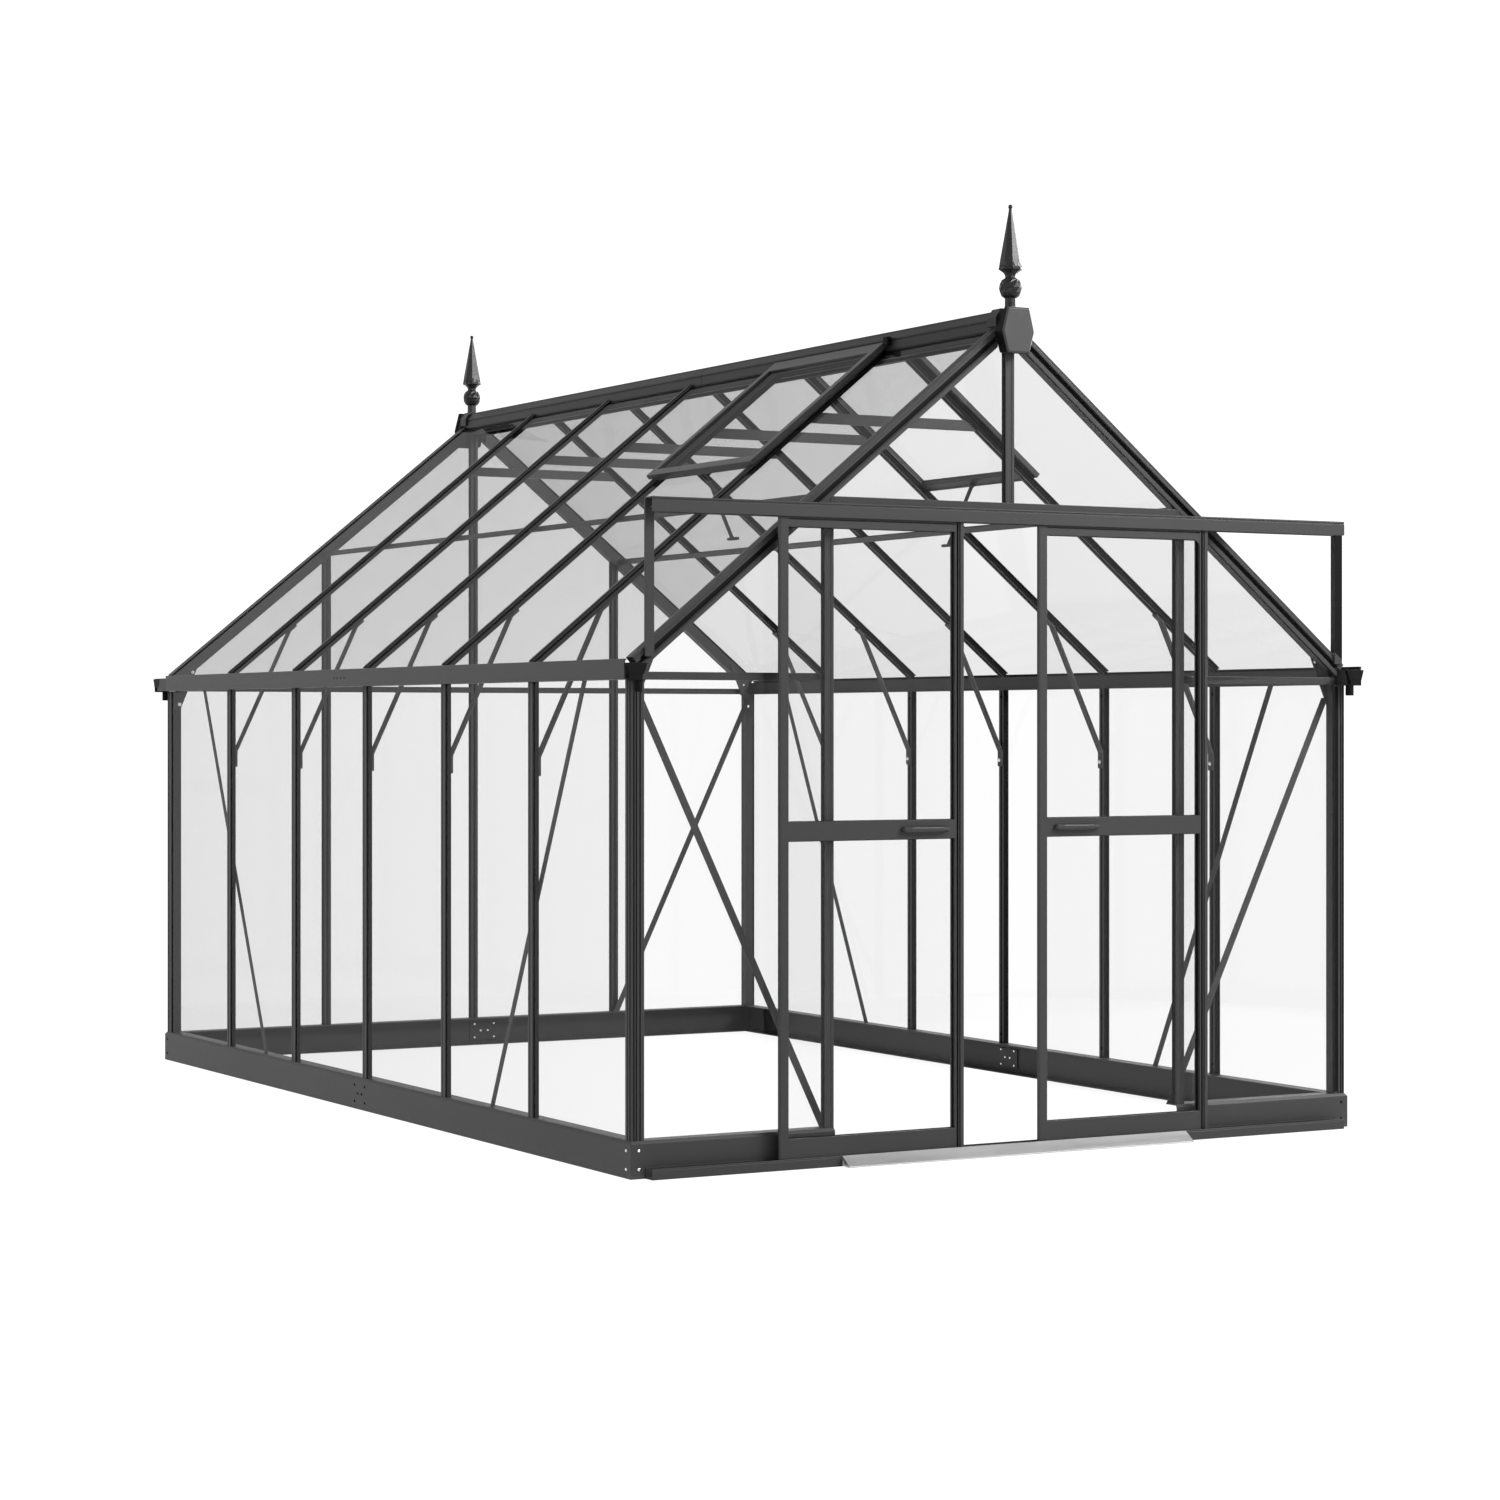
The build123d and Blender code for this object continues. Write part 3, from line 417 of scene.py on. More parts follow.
def makeFastenerTree():  # washers and heads on points, each turned to its own facing
    tree = Tree("fasteners", {**dict.fromkeys(fixingSizes, "Float"), "Sides": "Int", "Seed": "Int"})
    facing = tree.node("GeometryNodeInputNamedAttribute", {"data_type": "FLOAT_VECTOR"}, {"Name": "facing"})
    turn = tree.node("FunctionNodeAlignRotationToVector", {"axis": "Z"}, {"Vector": facing})
    chance = tree.node("FunctionNodeRandomValue", {"data_type": "FLOAT"}, {
        2: 0.0, 3: 2 * math.pi, "Seed": tree.given("Seed")}, out=1)
    spin = tree.node("FunctionNodeAxisAngleToRotation", {}, {"Axis": (0, 0, 1), "Angle": chance})
    turn = tree.node("FunctionNodeRotateRotation", {"rotation_space": "LOCAL"}, {0: turn, 1: spin})

    def disc(sides, low, high, height, lift):
        cone = tree.node("GeometryNodeMeshCone", {"fill_type": "NGON"}, {
            "Vertices": sides, "Side Segments": 1, "Radius Top": high, "Radius Bottom": low, "Depth": height})
        rise = tree.node("ShaderNodeCombineXYZ", {}, {"Z": lift})
        return tree.node("GeometryNodeTransform", {}, {"Geometry": cone, "Translation": rise})

    sides = tree.given("Sides")
    headRadius, headHeight, washerRadius, lift = (tree.given(label) for label in fixingSizes)
    washer = disc(18, washerRadius, washerRadius * 0.96, lift, 0.0)
    head = disc(sides, headRadius, headRadius, headHeight * 0.7, lift)
    crown = disc(sides, headRadius, headRadius * 0.72, headHeight * 0.3, lift + headHeight * 0.7)
    whole = tree.node("GeometryNodeJoinGeometry")
    for part in (washer, head, crown):
        tree.tree.links.new(part.socket, whole.socket.node.inputs[0])
    row = tree.node("GeometryNodeInstanceOnPoints", {}, {
        "Points": tree.given("Geometry"), "Instance": whole, "Rotation": turn})
    tree.finish(row)
    return tree


def makeBeadTree():  # a round bead laid along edges
    tree = Tree("sealBead", {"Bead Radius": "Float", "Sides": "Int"})
    path = tree.node("GeometryNodeMeshToCurve", {}, {0: tree.given("Geometry")})
    ring = tree.node("GeometryNodeCurvePrimitiveCircle", {}, {"Resolution": tree.given("Sides"),
                                                             "Radius": tree.given("Bead Radius")})
    bead = tree.node("GeometryNodeCurveToMesh", {}, {0: path, 1: ring, "Fill Caps": True})
    tree.finish(bead)
    return tree


runTree, fastenerTree, beadTree = makeRunTree(), makeFastenerTree(), makeBeadTree()


def sectionFace(section, at, out, run):  # a section across Y as one face that looks along its run
    at, (across, out, along) = Vector(at), turned((0, 1, 0), out, run)
    spots = [(at + across * u + out * v) * mm for u, v in section]
    mesh = bpy.data.meshes.new("section")
    mesh.from_pydata(spots, [], [list(range(len(spots)))])
    mesh.update()
    if mesh.polygons[0].normal.dot(along) < 0:
        mesh.flip_normals()
    return mesh


fixings = {
    "zincBolts": {"mark": "zincSteel", "sides": 6, "sizes": (4.6, 3.4, 6.6, 1.2)},
    "pinBolts": {"mark": "zincSteel", "sides": 12, "sizes": (3.8, 2.2, 4.0, 0.3)},
    "blackScrews": {"mark": "blackPlastic", "sides": 12, "sizes": (3.0, 1.4, 4.2, 0.7)},
    "blackBolts": {"mark": "blackPlastic", "sides": 6, "sizes": (4.4, 3.2, 6.0, 1.2)},
}
fixingSpots = {}


def fix(kind, spots, facing, body="frame"):
    fixingSpots.setdefault((kind, body), []).extend((tuple(spot), tuple(facing)) for spot in spots)


def placeFixings():
    for (kind, body), spots in sorted(fixingSpots.items()):
        look = fixings[kind]
        mesh = bpy.data.meshes.new(kind)
        mesh.from_pydata([Vector(spot) * mm for spot, _ in spots], [], [])
        facing = mesh.attributes.new("facing", "FLOAT_VECTOR", "POINT")
        for item, (_, way) in zip(facing.data, spots):
            item.vector = way
        values = {label: size * mm for label, size in zip(fixingSizes, look["sizes"])}
        name = kind + body.title().replace("_", "")
        grown(name, mesh, fastenerTree, {**values, "Sides": look["sides"], "Seed": 7}, look["mark"], body)


# where everything is

plan = {"bay": 610.0, "roofRise": 1000.5, "rafterSeat": 59.5, "postWidth": 39.0}
barLow, barHigh = boxOf("left_wall_bars")
postLow, postHigh = boxOf("corner_posts")
baseLow, baseHigh = boxOf("base_left")
wallX = -barLow[0]
midY = (barLow[1] + barHigh[1]) / 2
gableFront, gableBack = postLow[1], postHigh[1]
baseX, baseFront, baseBack, baseTop = -baseLow[0], baseLow[1], baseHigh[1], baseHigh[2]
eaves = postHigh[2]
bay = plan["bay"]
flanks = ((-1, "Left"), (1, "Right"))
stations = [midY + bay * k for k in (-2, -1, 0, 1, 2)]
apex = eaves + plan["rafterSeat"] + plan["roofRise"]
fall = plan["roofRise"] / wallX
pitch = math.atan(fall)


def roofZ(x, depth=0.0):
    return apex - depth / math.cos(pitch) - fall * abs(x)


def groove(at, half, deep):  # a small flute in a face at v = 0
    return [(at - half, 0), (at - half * 0.55, -deep), (at + half * 0.55, -deep), (at + half, 0)]


# glazing bars

barLook = {"half": 15.5, "sealed": 14.5, "cap": 4.0, "glass": 4.0, "neck": 6.0, "slot": 4.2, "pocket": 7.8,
           "lip": 1.8, "pocketDeep": 7.0, "edge": 0.9, "soft": 0.6}


def barSection(depth, fin=0.0):  # (across, outward)
    b = barLook
    half, neck, sealed, slot, pocket = (b[key] for key in ("half", "neck", "sealed", "slot", "pocket"))
    cap, inner, lip, deep = b["cap"], b["cap"] + b["glass"], b["lip"] - depth, b["pocketDeep"] - depth
    top = [(-6.5, 0), (-5.2, -1.5), (5.2, -1.5), (6.5, 0)]
    if fin:
        top = [(-6, 0), (-6, fin - 0.8), (-5.2, fin), (5.2, fin), (6, fin - 0.8), (6, 0)]
    right = [(half - b["edge"], 0), (half, -b["edge"]), (half, -cap), (neck, -cap), (neck, -inner),
             (sealed, -inner), (sealed, -depth), (slot, -depth), (slot, lip), (pocket, lip), (pocket, deep)]
    return [(-half, -b["edge"]), (b["edge"] - half, 0)] + top + right + [(-u, v) for u, v in right[:1:-1]]


def sealSection(side, depth):  # black seal beside the glass
    b = barLook
    inner = b["cap"] + b["glass"] + 0.2
    return [(side * u, v) for u, v in ((b["sealed"], -inner), (b["half"], -inner), (b["half"], 1.6 - depth),
                                       (b["sealed"], 1.0 - depth))]


def barRow(kind, label, section, at, out, run, node):  # bars a bay apart, with a seal on both sides
    for name, shape, mark, stands, soft in (
            ("Bars" + label, section, "frameCoat", [node], barLook["soft"]),
            ("Seals" + label + "A", sealSection(-1, barDepth), "glazingSeal", (), 0),
            ("Seals" + label + "B", sealSection(1, barDepth), "glazingSeal", (), 0)):
        values = {"Count": len(stations), "Step": tuple(Vector((0, bay, 0)) * mm),
                  "Run": tuple(Vector(run) * mm)}
        face = sectionFace(shape, at, out, run)
        soften(grown(kind + name, face, runTree, values, mark, "frame", stands), soft)


barDepth = barHigh[0] - barLow[0]
wallBolts = {"low": 32.0, "high": 24.0}  # above the base and under the eaves
for side, label in flanks:
    at, up = (side * wallX, stations[0], baseTop), (0, 0, eaves - baseTop)
    barRow("wall", label, barSection(barDepth), at, (side, 0, 0), up, label.lower() + "_wall_bars")
    rises = (baseTop + wallBolts["low"], eaves - wallBolts["high"])
    fix("blackBolts", [(side * (wallX - barDepth), y, z) for y in stations for z in rises], (-side, 0, 0))

# roof bars
roofLook = {"fin": 3.5, "footIn": 2.0, "gableDepth": 45.0}
ridgeHalf = -boxOf("left_roof_rafters")[1][0]
footX = wallX - roofLook["footIn"]
slopes = {side: ((side * math.sin(pitch), 0, math.cos(pitch)), (-side * math.cos(pitch), 0, math.sin(pitch)))
          for side in (-1, 1)}  # out of each roof face, and up it
for side, label in flanks:
    (out, up), node = slopes[side], label.lower() + "_roof_rafters"
    length = (footX - ridgeHalf) / math.cos(pitch) - roofLook["fin"] * math.tan(pitch)
    at = (side * footX, stations[0], roofZ(footX))
    barRow("roof", label, barSection(barDepth, roofLook["fin"]), at, out, Vector(up) * length, node)

# gable bars
gableDepth = roofLook["gableDepth"]
ridgeLow, ridgeHigh = boxOf("ridge")
ridgeFoot = ridgeLow[2]
headerTop = boxOf("door_header")[1][2]
for node, label, face, way, middleFoot in (("back_gable_bars", "Back", gableBack, 1, baseTop),
                                           ("front_gable_posts", "Front", gableFront, -1, headerTop)):
    bars, seals = Solid(), Solid()
    for side, foot in ((-1, baseTop), (0, middleFoot), (1, baseTop)):
        stop = ((0, 0, roofZ(0, gableDepth)), slopes[side][0]) if side else ridgeFoot - foot
        for solid, shape in ((bars, barSection(barDepth)), (seals, sealSection(1, barDepth)),
                             (seals, sealSection(-1, barDepth))):
            solid.run(shape, (side * bay, face, foot), (-way, 0, 0), (0, way, 0), (0, 0, 1), 0.0, stop)
    place("gableBars" + label, bars, ["frameCoat"], stands=[node], soft=0.6)
    place("gableSeals" + label, seals, ["glazingSeal"], soft=0)
print("greenhouse: bars made")

# corner posts

# the lip entries place a black strip of painted shade on the right front post
postLook = {"width": plan["postWidth"], "flutes": (6.6, 14.4, 25.7), "half": 2.6, "deep": 4.6,
            "slot": 14.0, "lip": (26.5, 38.4), "shadeStripEnds": 6.0}


def postSection(look):
    w, s = look["width"], look["slot"]
    face = [(0.8, 0)]
    for at in look["flutes"]:
        face += groove(at, look["half"], look["deep"])
    face += [(w - 0.8, 0), (w, -0.8), (w, -4), (w - s, -4), (w - s, -8), (w, -8), (w, -w)]
    return face + [(-v, -u) for u, v in face[::-1]]


posts = Solid()
for sx in (-1, 1):
    for face, sy in ((gableFront, -1), (gableBack, 1)):
        posts.run(postSection(postLook), (sx * wallX, face, baseTop), (-sx, 0, 0), (0, sy, 0), (0, 0, 1),
                  0.0, eaves - baseTop)
near, far = postLook["lip"]
lip = [(near, -0.1), (far, -0.1), (far, -0.9), (near, -0.9)]  # black strip over the inner part of the right front post's face: painted shade for the post's shaded inner side
posts.run(lip, (wallX, gableFront - 0.3, baseTop), (-1, 0, 0), (0, -1, 0), (0, 0, 1), postLook["shadeStripEnds"],
          eaves - baseTop - postLook["shadeStripEnds"], mark=1)
place("cornerPosts", posts, ["frameCoat", "blackPlastic"], stands=["corner_posts"], soft=0.5)

# base

baseLook = {"skin": 4.0, "flange": 56.0, "sillFall": 8.0, "inset": 7.0, "bead": 6.5}


def baseSection(look, high):  # (height, outward)
    t, f, b = look["skin"], look["flange"], look["bead"]
    sill = high - look["sillFall"]
    return [(0, -0.6), (0, -f), (t, -f), (t, -t), (sill - t, -t), (high - t, -look["inset"]), (high - t, -f),
            (high, -f), (high, -look["inset"]), (sill + 1.2, -1.0), (sill, 0), (b + 1.6, 0), (b + 0.8, -0.9),
            (b, 0), (0.6, 0)]


section = baseSection(baseLook, baseTop)
corner = {(sx, sy): (sx * baseX, baseFront if sy < 0 else baseBack, 0) for sx in (-1, 1) for sy in (-1, 1)}
for side, label in flanks:
    solid = Solid()
    solid.run(section, (side * baseX, 0, 0), (0, 0, 1), (side, 0, 0), (0, 1, 0),
              (corner[side, -1], (side, 1, 0)), (corner[side, 1], (side, -1, 0)))
    place("plinth" + label, solid, ["baseCoat"], stands=["base_" + label.lower()])
solid = Solid()
solid.run(section, (0, baseBack, 0), (0, 0, 1), (0, 1, 0), (1, 0, 0),
          (corner[-1, 1], (1, 1, 0)), (corner[1, 1], (-1, 1, 0)))
place("plinthBack", solid, ["baseCoat"], stands=["base_back"])
jamb = bay - barLook["half"]
solid = Solid()
for side in (-1, 1):
    solid.run(section, (0, baseFront, 0), (0, 0, 1), (0, -1, 0), (side, 0, 0), jamb,
              (corner[side, -1], (side, 1, 0)))
place("plinthFront", solid, ["baseCoat"], stands=["base_front"])

placePacked("plinthSplices", "base_splices", "baseCoat", 0.8)
sixHoles = [(-41, 26), (41, 26), (-41, -26), (41, -26), (-15, 0), (15, 0)]
spliceLook = {"shifts": {-1: 22.0, 1: -10.0}, "backShift": 51.0, "rise": 50.6, "inner": 8.0}
cornerBolts = {"in": 25.0, "heights": (77.0, 26.0)}
middle, inner = spliceLook["rise"], spliceLook["inner"]
for side, shift in spliceLook["shifts"].items():
    spots = [(midY + shift + u, middle + v) for u, v in sixHoles]
    fix("blackScrews", [(side * baseX, y, z) for y, z in spots], (side, 0, 0))
    fix("pinBolts", [(side * (baseX - inner), y, z) for y, z in spots], (-side, 0, 0))
spots = [(spliceLook["backShift"] + u, middle + v) for u, v in sixHoles]
fix("pinBolts", [(x, baseBack - inner, z) for x, z in spots], (0, -1, 0))
fix("blackScrews", [(x, baseBack, z) for x, z in spots], (0, 1, 0))
for side in (-1, 1):
    for y, way in ((baseFront, -1), (baseBack, 1)):
        kind = "pinBolts" if side < 0 and way < 0 else "blackScrews"
        inset, heights = cornerBolts["in"], cornerBolts["heights"]
        fix(kind, [(side * baseX, y - way * inset, z) for z in heights], (side, 0, 0))
        fix(kind, [(side * (baseX - inset), y, z) for z in heights], (0, way, 0))
print("greenhouse: base made")

# eaves and gutters

gutterLow, gutterHigh = boxOf("right_gutter")
gutterLook = {"high": 56.0, "skin": 4.0, "seatIn": 14.0, "screws": (92, 120, 149, 174), "screwRise": 28.0,
              "screwSink": 2.3, "sleeveFrom": 1779.0, "sleeveIn": 3.0}


def gutterSection(look):
    x0, x1, z0, z1 = gutterLow[0], gutterHigh[0], gutterLow[2], gutterLow[2] + look["high"]
    t, seatOut = look["skin"], wallX - look["seatIn"]
    return [
        (x0, z0), (x1 - 0.8, z0), (x1, z0 + 0.8), (x1, z0 + 3.4), (x1 - 1.2, z0 + 4.6), (x1 - 1.2, z1 - 8),
        (x1, z1 - 7), (x1, z1 - 1), (x1 - 1, z1), (x1 - 7.2, z1), (x1 - 8, z1 - 0.8), (x1 - 8, z1 - t),
        (x1 - t - 1, z1 - t), (x1 - t - 1, z0 + t), (seatOut, z0 + t), (seatOut, roofZ(seatOut, barDepth)),
        (seatOut - t, roofZ(seatOut - t, barDepth)), (seatOut - t, z0 + t), (x0, z0 + t)]


for side, label in flanks:
    solid = Solid()
    ways = ((0, 0, 0), (side, 0, 0), (0, 0, 1), (0, 1, 0))
    backEnd = gutterLook["sleeveFrom"] if side < 0 else gutterHigh[1]
    solid.run(gutterSection(gutterLook), *ways, gutterLow[1], backEnd)
    if side < 0:  # the left gutter's back end sits in a darker sleeve
        inset = gutterLook["sleeveIn"]
        x0, x1, z0 = gutterLow[0], gutterHigh[0] - inset, gutterLow[2] + 1
        z1 = gutterLow[2] + gutterLook["high"] - 3 * inset
        sleeve = [(x0, z0), (x1, z0), (x1, z1), (x1 - 6, z1), (x1 - 6, z0 + 4), (x0, z0 + 4)]
        solid.run(sleeve, *ways, backEnd - 1, gutterHigh[1], mark=1)
    place("gutter" + label, solid, ["frameCoat", "ridgeCoat"], stands=[label.lower() + "_gutter"])
    fix("blackScrews", [(side * (gutterHigh[0] - gutterLook["screwSink"]), y, eaves + gutterLook["screwRise"])
                        for y in gutterLook["screws"]], (side, 0, 0))

capLow, capHigh = boxOf("gutter_end_caps")
capShape = {"slope": 8.0, "heel": 9.5, "stepRise": 17.0, "stepIn": 13.5, "spoutIn": 4.0, "radius": 12.5,
            "back": 27.5, "sump": 16.5, "rim": 3.0, "under": 3.0, "wrapFrom": 1854.0, "taper": 12.0}
endCaps = Solid()
x0, x1 = wallX - barDepth - 3, capHigh[0]
z1, under, rim = capHigh[2], eaves - capShape["under"], capHigh[2] - capShape["rim"]
step, slopeX, stepX = under + capShape["stepRise"], x1 - capShape["slope"], x0 + capShape["stepIn"]
spoutX, spoutRim, sump = wallX - capShape["spoutIn"], capShape["radius"], capShape["sump"]
hopper = [(x0, z1), (x1, z1), (x1, rim), (slopeX, step), (x0 + capShape["heel"], step), (x0, rim)]
block = [(stepX, step + 1), (slopeX - 0.5, step + 1), (slopeX - 0.5, under), (stepX, under)]
trough = [(spoutX + u, z) for u, z in (
    (-sump, eaves - 0.2), (sump, eaves - 0.2), (sump, under), (-sump, under))]
spout = [(-1, spoutRim), (eaves - capLow[2], spoutRim), (eaves - capLow[2], spoutRim - 3), (3, spoutRim - 3)]
for sx in (-1, 1):
    for way, end, gutterEnd in ((-1, capLow[1], gutterLow[1]), (1, capHigh[1], gutterHigh[1])):
        endCaps.slab(hopper, end, gutterEnd, sx=sx)
        if (sx, way) == (-1, 1):  # this one wraps round the sleeve, narrowing downwards
            near, far = capShape["wrapFrom"] + capShape["taper"], end - capShape["taper"]
            wrap = [(end, z1), (far, step), (near, step), (capShape["wrapFrom"], z1)]
            heel = [(far, step + 1), (far, under), (near + 10, under), (near + 10, step + 1)]
            for outline, inner, outer in ((wrap, x1 - 1.6, x1), (heel, x1 - 9, x1 - 1.0)):
                endCaps.skin([[(sx * x, y, z) for y, z in outline] for x in (inner, outer)])
        endCaps.slab(block, end + way * -0.8, gutterEnd, sx=sx)
        endCaps.slab(trough, end - way * 1.5, end - way * capShape["back"], sx=sx)
        endCaps.turnedPart(spout, (sx * spoutX, gutterEnd - way * 2, eaves), (0, 0, -1))
place("gutterEndCaps", endCaps, ["blackPlastic"], stands=["gutter_end_caps"], soft=0.9)

placePacked("eaveRails", "eave_rails", "frameCoat")

# gable rafters

rafterLook = {"width": plan["postWidth"], "depth": gableDepth, "slot": 14.0, "footCut": 6.0}


def gableRafterSection(look):  # u inward from the gable face, v up from the roof face
    w, d, s = look["width"], look["depth"], look["slot"]
    return [
        (1, 0), (9.0, 0), (10.0, -1.6), (12.4, -1.6), (13.4, 0), (20.5, 0), (21.5, -1.6), (23.5, -1.6),
        (24.5, 0), (w - 1, 0), (w, -1), (w, -4), (w - s, -4), (w - s, -8), (w, -8), (w, -d), (8, -d),
        (8, -d + s), (4, -d + s), (4, -d), (0.8, -d), (0, -d + 0.8), (0, -33.5), (2.8, -33.0), (2.8, -30.2),
        (10.5, -30.2), (10.5, -16.6), (1.0, -16.2), (0, -15.6), (0, -8.6), (0.9, -7.8), (0.9, -6.6),
        (0, -5.8), (0, -1)]


solid = Solid()
gasket = [(8.6, -30.0), (10.4, -30.0), (10.4, -16.8), (8.6, -16.8)]  # black strip down in the outer groove
footShape = [(u, max(v, -barDepth)) for u, v in (
    (1, 0), (9.0, 0), (10.0, -1.6), (12.4, -1.6), (13.4, 0), (38, 0), (39, -1), (39, -21.5), (0, -21.5),
    (0, -8.6), (0.9, -7.8), (0.9, -6.6), (0, -5.8), (0, -1))]
footCut = wallX - barDepth - rafterLook["footCut"]
for side in (-1, 1):
    ridgeStop, footPlane = (((side * x, 0, 0), (1, 0, 0)) for x in (ridgeHalf, footCut))
    for face, way in ((gableFront, 1), (gableBack, -1)):
        ways = ((side * footX, face, roofZ(footX)), (0, way, 0), *slopes[side])
        solid.run(gableRafterSection(rafterLook), *ways, footPlane, ridgeStop)
        solid.run(gasket, *ways, footPlane, ridgeStop, mark=1)
        solid.run(footShape, *ways, 0.0, footPlane)
place("gableRafters", solid, ["frameCoat", "glazingSeal"], stands=["gable_rafters"], soft=0.6)

# ridge

ridgeLook = {"topHalf": 26.0, "bevel": 22.0, "joint": -51.0, "gap": 0.8, "coreHalf": 37.0, "coreReach": 30.0,
             "coreUp": 21.0, "coreDown": 25.0}


def ridgeSection(look):
    h, t, top, foot = ridgeHalf, look["topHalf"], ridgeHigh[2], ridgeFoot
    half = [
        (26, foot), (h - 4, foot), (h - 4, foot + 6.4), (h, foot + 7), (h, foot + 10), (h - 4.5, foot + 10.6),
        (h - 4.5, foot + 19.6), (h, foot + 20.2), (h, foot + 50), (h - 2.5, foot + 51), (h - 2.5, foot + 54),
        (h, foot + 55), (h, top - look["bevel"] - 1), (h - 1.4, top - look["bevel"] + 1), (t + 3, top - 4.6),
        (t + 3, top - 1),
        (t + 2, top), (t - 4, top), (t - 6, top - 1.5)]
    inside = [(26, foot + 16), (20, foot + 22)]
    return half + [(-x, z) for x, z in half[::-1]] + [(-x, z) for x, z in inside] + inside[::-1]


solid = Solid()
joint, gap, reach, half = (ridgeLook[key] for key in ("joint", "gap", "coreReach", "coreHalf"))
for y0, y1 in ((ridgeLow[1], joint - gap), (joint + gap, ridgeHigh[1])):
    solid.run(ridgeSection(ridgeLook), (0, 0, 0), (1, 0, 0), (0, 0, 1), (0, 1, 0), y0, y1)
solid.block(-half, half, joint - reach, joint + reach, ridgeFoot + ridgeLook["coreUp"],
            ridgeHigh[2] - ridgeLook["coreDown"])  # core behind the joint
place("ridgeBeam", solid, ["ridgeCoat"], stands=["ridge"], soft=0.6)

capLook = {"chamfer": 5.0, "half": 38.0, "waist": 56.0, "waistDrop": 4.5, "head": 20.0, "neck": 47.0,
           "neckIn": 3.5, "tail": 94.0, "tailHalf": 49.0}
crestLow, crestHigh = boxOf("ridge_caps")
solid = Solid()
half, waist, tailHalf = capLook["half"], capLook["waist"], capLook["tailHalf"]
middle = (crestLow[2] + crestHigh[2]) / 2 - capLook["waistDrop"]
outline = [(-half, crestLow[2]), (half, crestLow[2]), (waist, middle), (half, crestHigh[2]),
           (-half, crestHigh[2]), (-waist, middle)]
saddle = [(31, crestHigh[2] - 0.4), (tailHalf, ridgeHigh[2] - 21), (tailHalf, roofZ(42) + 3)]
saddle = [(-31, crestHigh[2] - 0.4)] + saddle + [(-x, z) for x, z in saddle[:0:-1]]  # the cap's tail


def capRing(y, inset):
    rise = 1 - 2 * inset / (crestHigh[2] - crestLow[2])
    return [(x * (1 - inset / 60), y, crestLow[2] + inset + (z - crestLow[2]) * rise) for x, z in outline]


chamfer, head, neck = capLook["chamfer"], capLook["head"], capLook["neck"]
for y, way in ((crestLow[1], 1), (crestHigh[1], -1)):
    for mark, rings in ((0, ((0.0, chamfer), (chamfer, 0.0))), (1, ((chamfer, 0.2), (head, 0.2))),
                        (1, ((head, capLook["neckIn"]), (neck, capLook["neckIn"])))):
        solid.skin([capRing(y + way * far, inset) for far, inset in rings], mark)
    solid.slab(saddle, y + way * (neck + 0.2), y + way * capLook["tail"], mark=2)
place("ridgeCaps", solid, ["crestingCoat", "blackPlastic", "ridgeCoat"], stands=["ridge_caps"], soft=0.8)

# finials
finialLook = {
    "foot": [(0, 17.8), (4, 17.8), (5, 16.8), (33, 16.8)],
    "ball": [(29, 17), (35, 25.5), (46, 31.5), (59, 33.5), (72, 31.5), (83, 25.5), (89, 16)],
    "neck": [(86, 17), (90, 16), (95, 16.2), (101, 19.5), (106, 25), (111, 33)],
    "skirt": [(110, 32.5), (112, 35), (116, 35), (118.5, 33.6)],
    "spire": [(118, 33.8), (141.5, 30.3), (198, 20), (280, 5.7), (290, 4.9)],
    "tip": [(287, 3.4), (289, 4.8), (291.5, 6.2), (294.5, 6.5), (297.5, 6.0), (299.8, 4.0), (301, 1.4)],
}
leafLook = {"in": 45.0, "count": 8, "lean": 0.16,
            "shapes": ((8.5, 34.0, 120.0, 30.6), (5.2, 54.0, 121.0, 30.0))}  # wide, tall, up, out
solid = Solid()
for y in (crestLow[1] + leafLook["in"], crestHigh[1] - leafLook["in"]):
    centre = (0, y, crestHigh[2])
    for part, profile in finialLook.items():
        sides, twists = {"ball": (10, (0.5, 1.0)), "tip": (16, (0.5,))}.get(part, (8, (0.5,)))
        solid.turnedPart(profile, centre, (0, 0, 1), sides, twists=twists)  # the ball is cut like a stone
    for k in range(leafLook["count"]):  # leaves round the foot of the spire
        a = 2 * math.pi * (k + 0.5) / leafLook["count"]
        way, side = Vector((math.cos(a), math.sin(a), 0)), Vector((-math.sin(a), math.cos(a), 0))
        for wide, tall, rise, out in leafLook["shapes"]:
            base = Vector(centre) + Vector((0, 0, rise)) + way * out
            lean = Vector((0, 0, tall)) - way * tall * leafLook["lean"]
            rings = []
            for share, broad, edge, front, back in (
                    (0.0, wide, 1.0, 3.2, 4.0), (0.7, wide * 0.5, 0.0, 2.6, 4.0), (1.0, 0.6, 0.0, 0.8, 3.0)):
                at = base + lean * share
                rings.append([at + side * broad + way * edge, at + way * front,
                              at - side * broad + way * edge, at - way * back])
            solid.skin(rings)
place("finials", solid, ["finialCoat"], stands=["finials"], soft=0.5)
print("greenhouse: roof made")

# vents, braces, header

for row in (
        ("ventFrames", "vent_frames", "frameCoat", 1.0), ("ventStays", "vent_stays", "frameCoat", 0.8),
        ("kneeBraces", "knee_braces", "braceCoat", 1.0), ("collarTies", "collar_ties", "braceCoat", 1.2),
        ("purlins", "purlins", "braceCoat", 0.9), ("diagonalBraces", "diagonal_braces", "braceCoat", 0.5),
        ("gableGussets", "gable_gussets", "braceCoat", 0.5), ("doorHeader", "door_header", "frameCoat", 0.8),
        ("trackEndStruts", "track_end_struts", "frameCoat", 0.7),
        ("doorRamp", "door_ramp", "millAluminium", 0.5)):
    placePacked(*row)

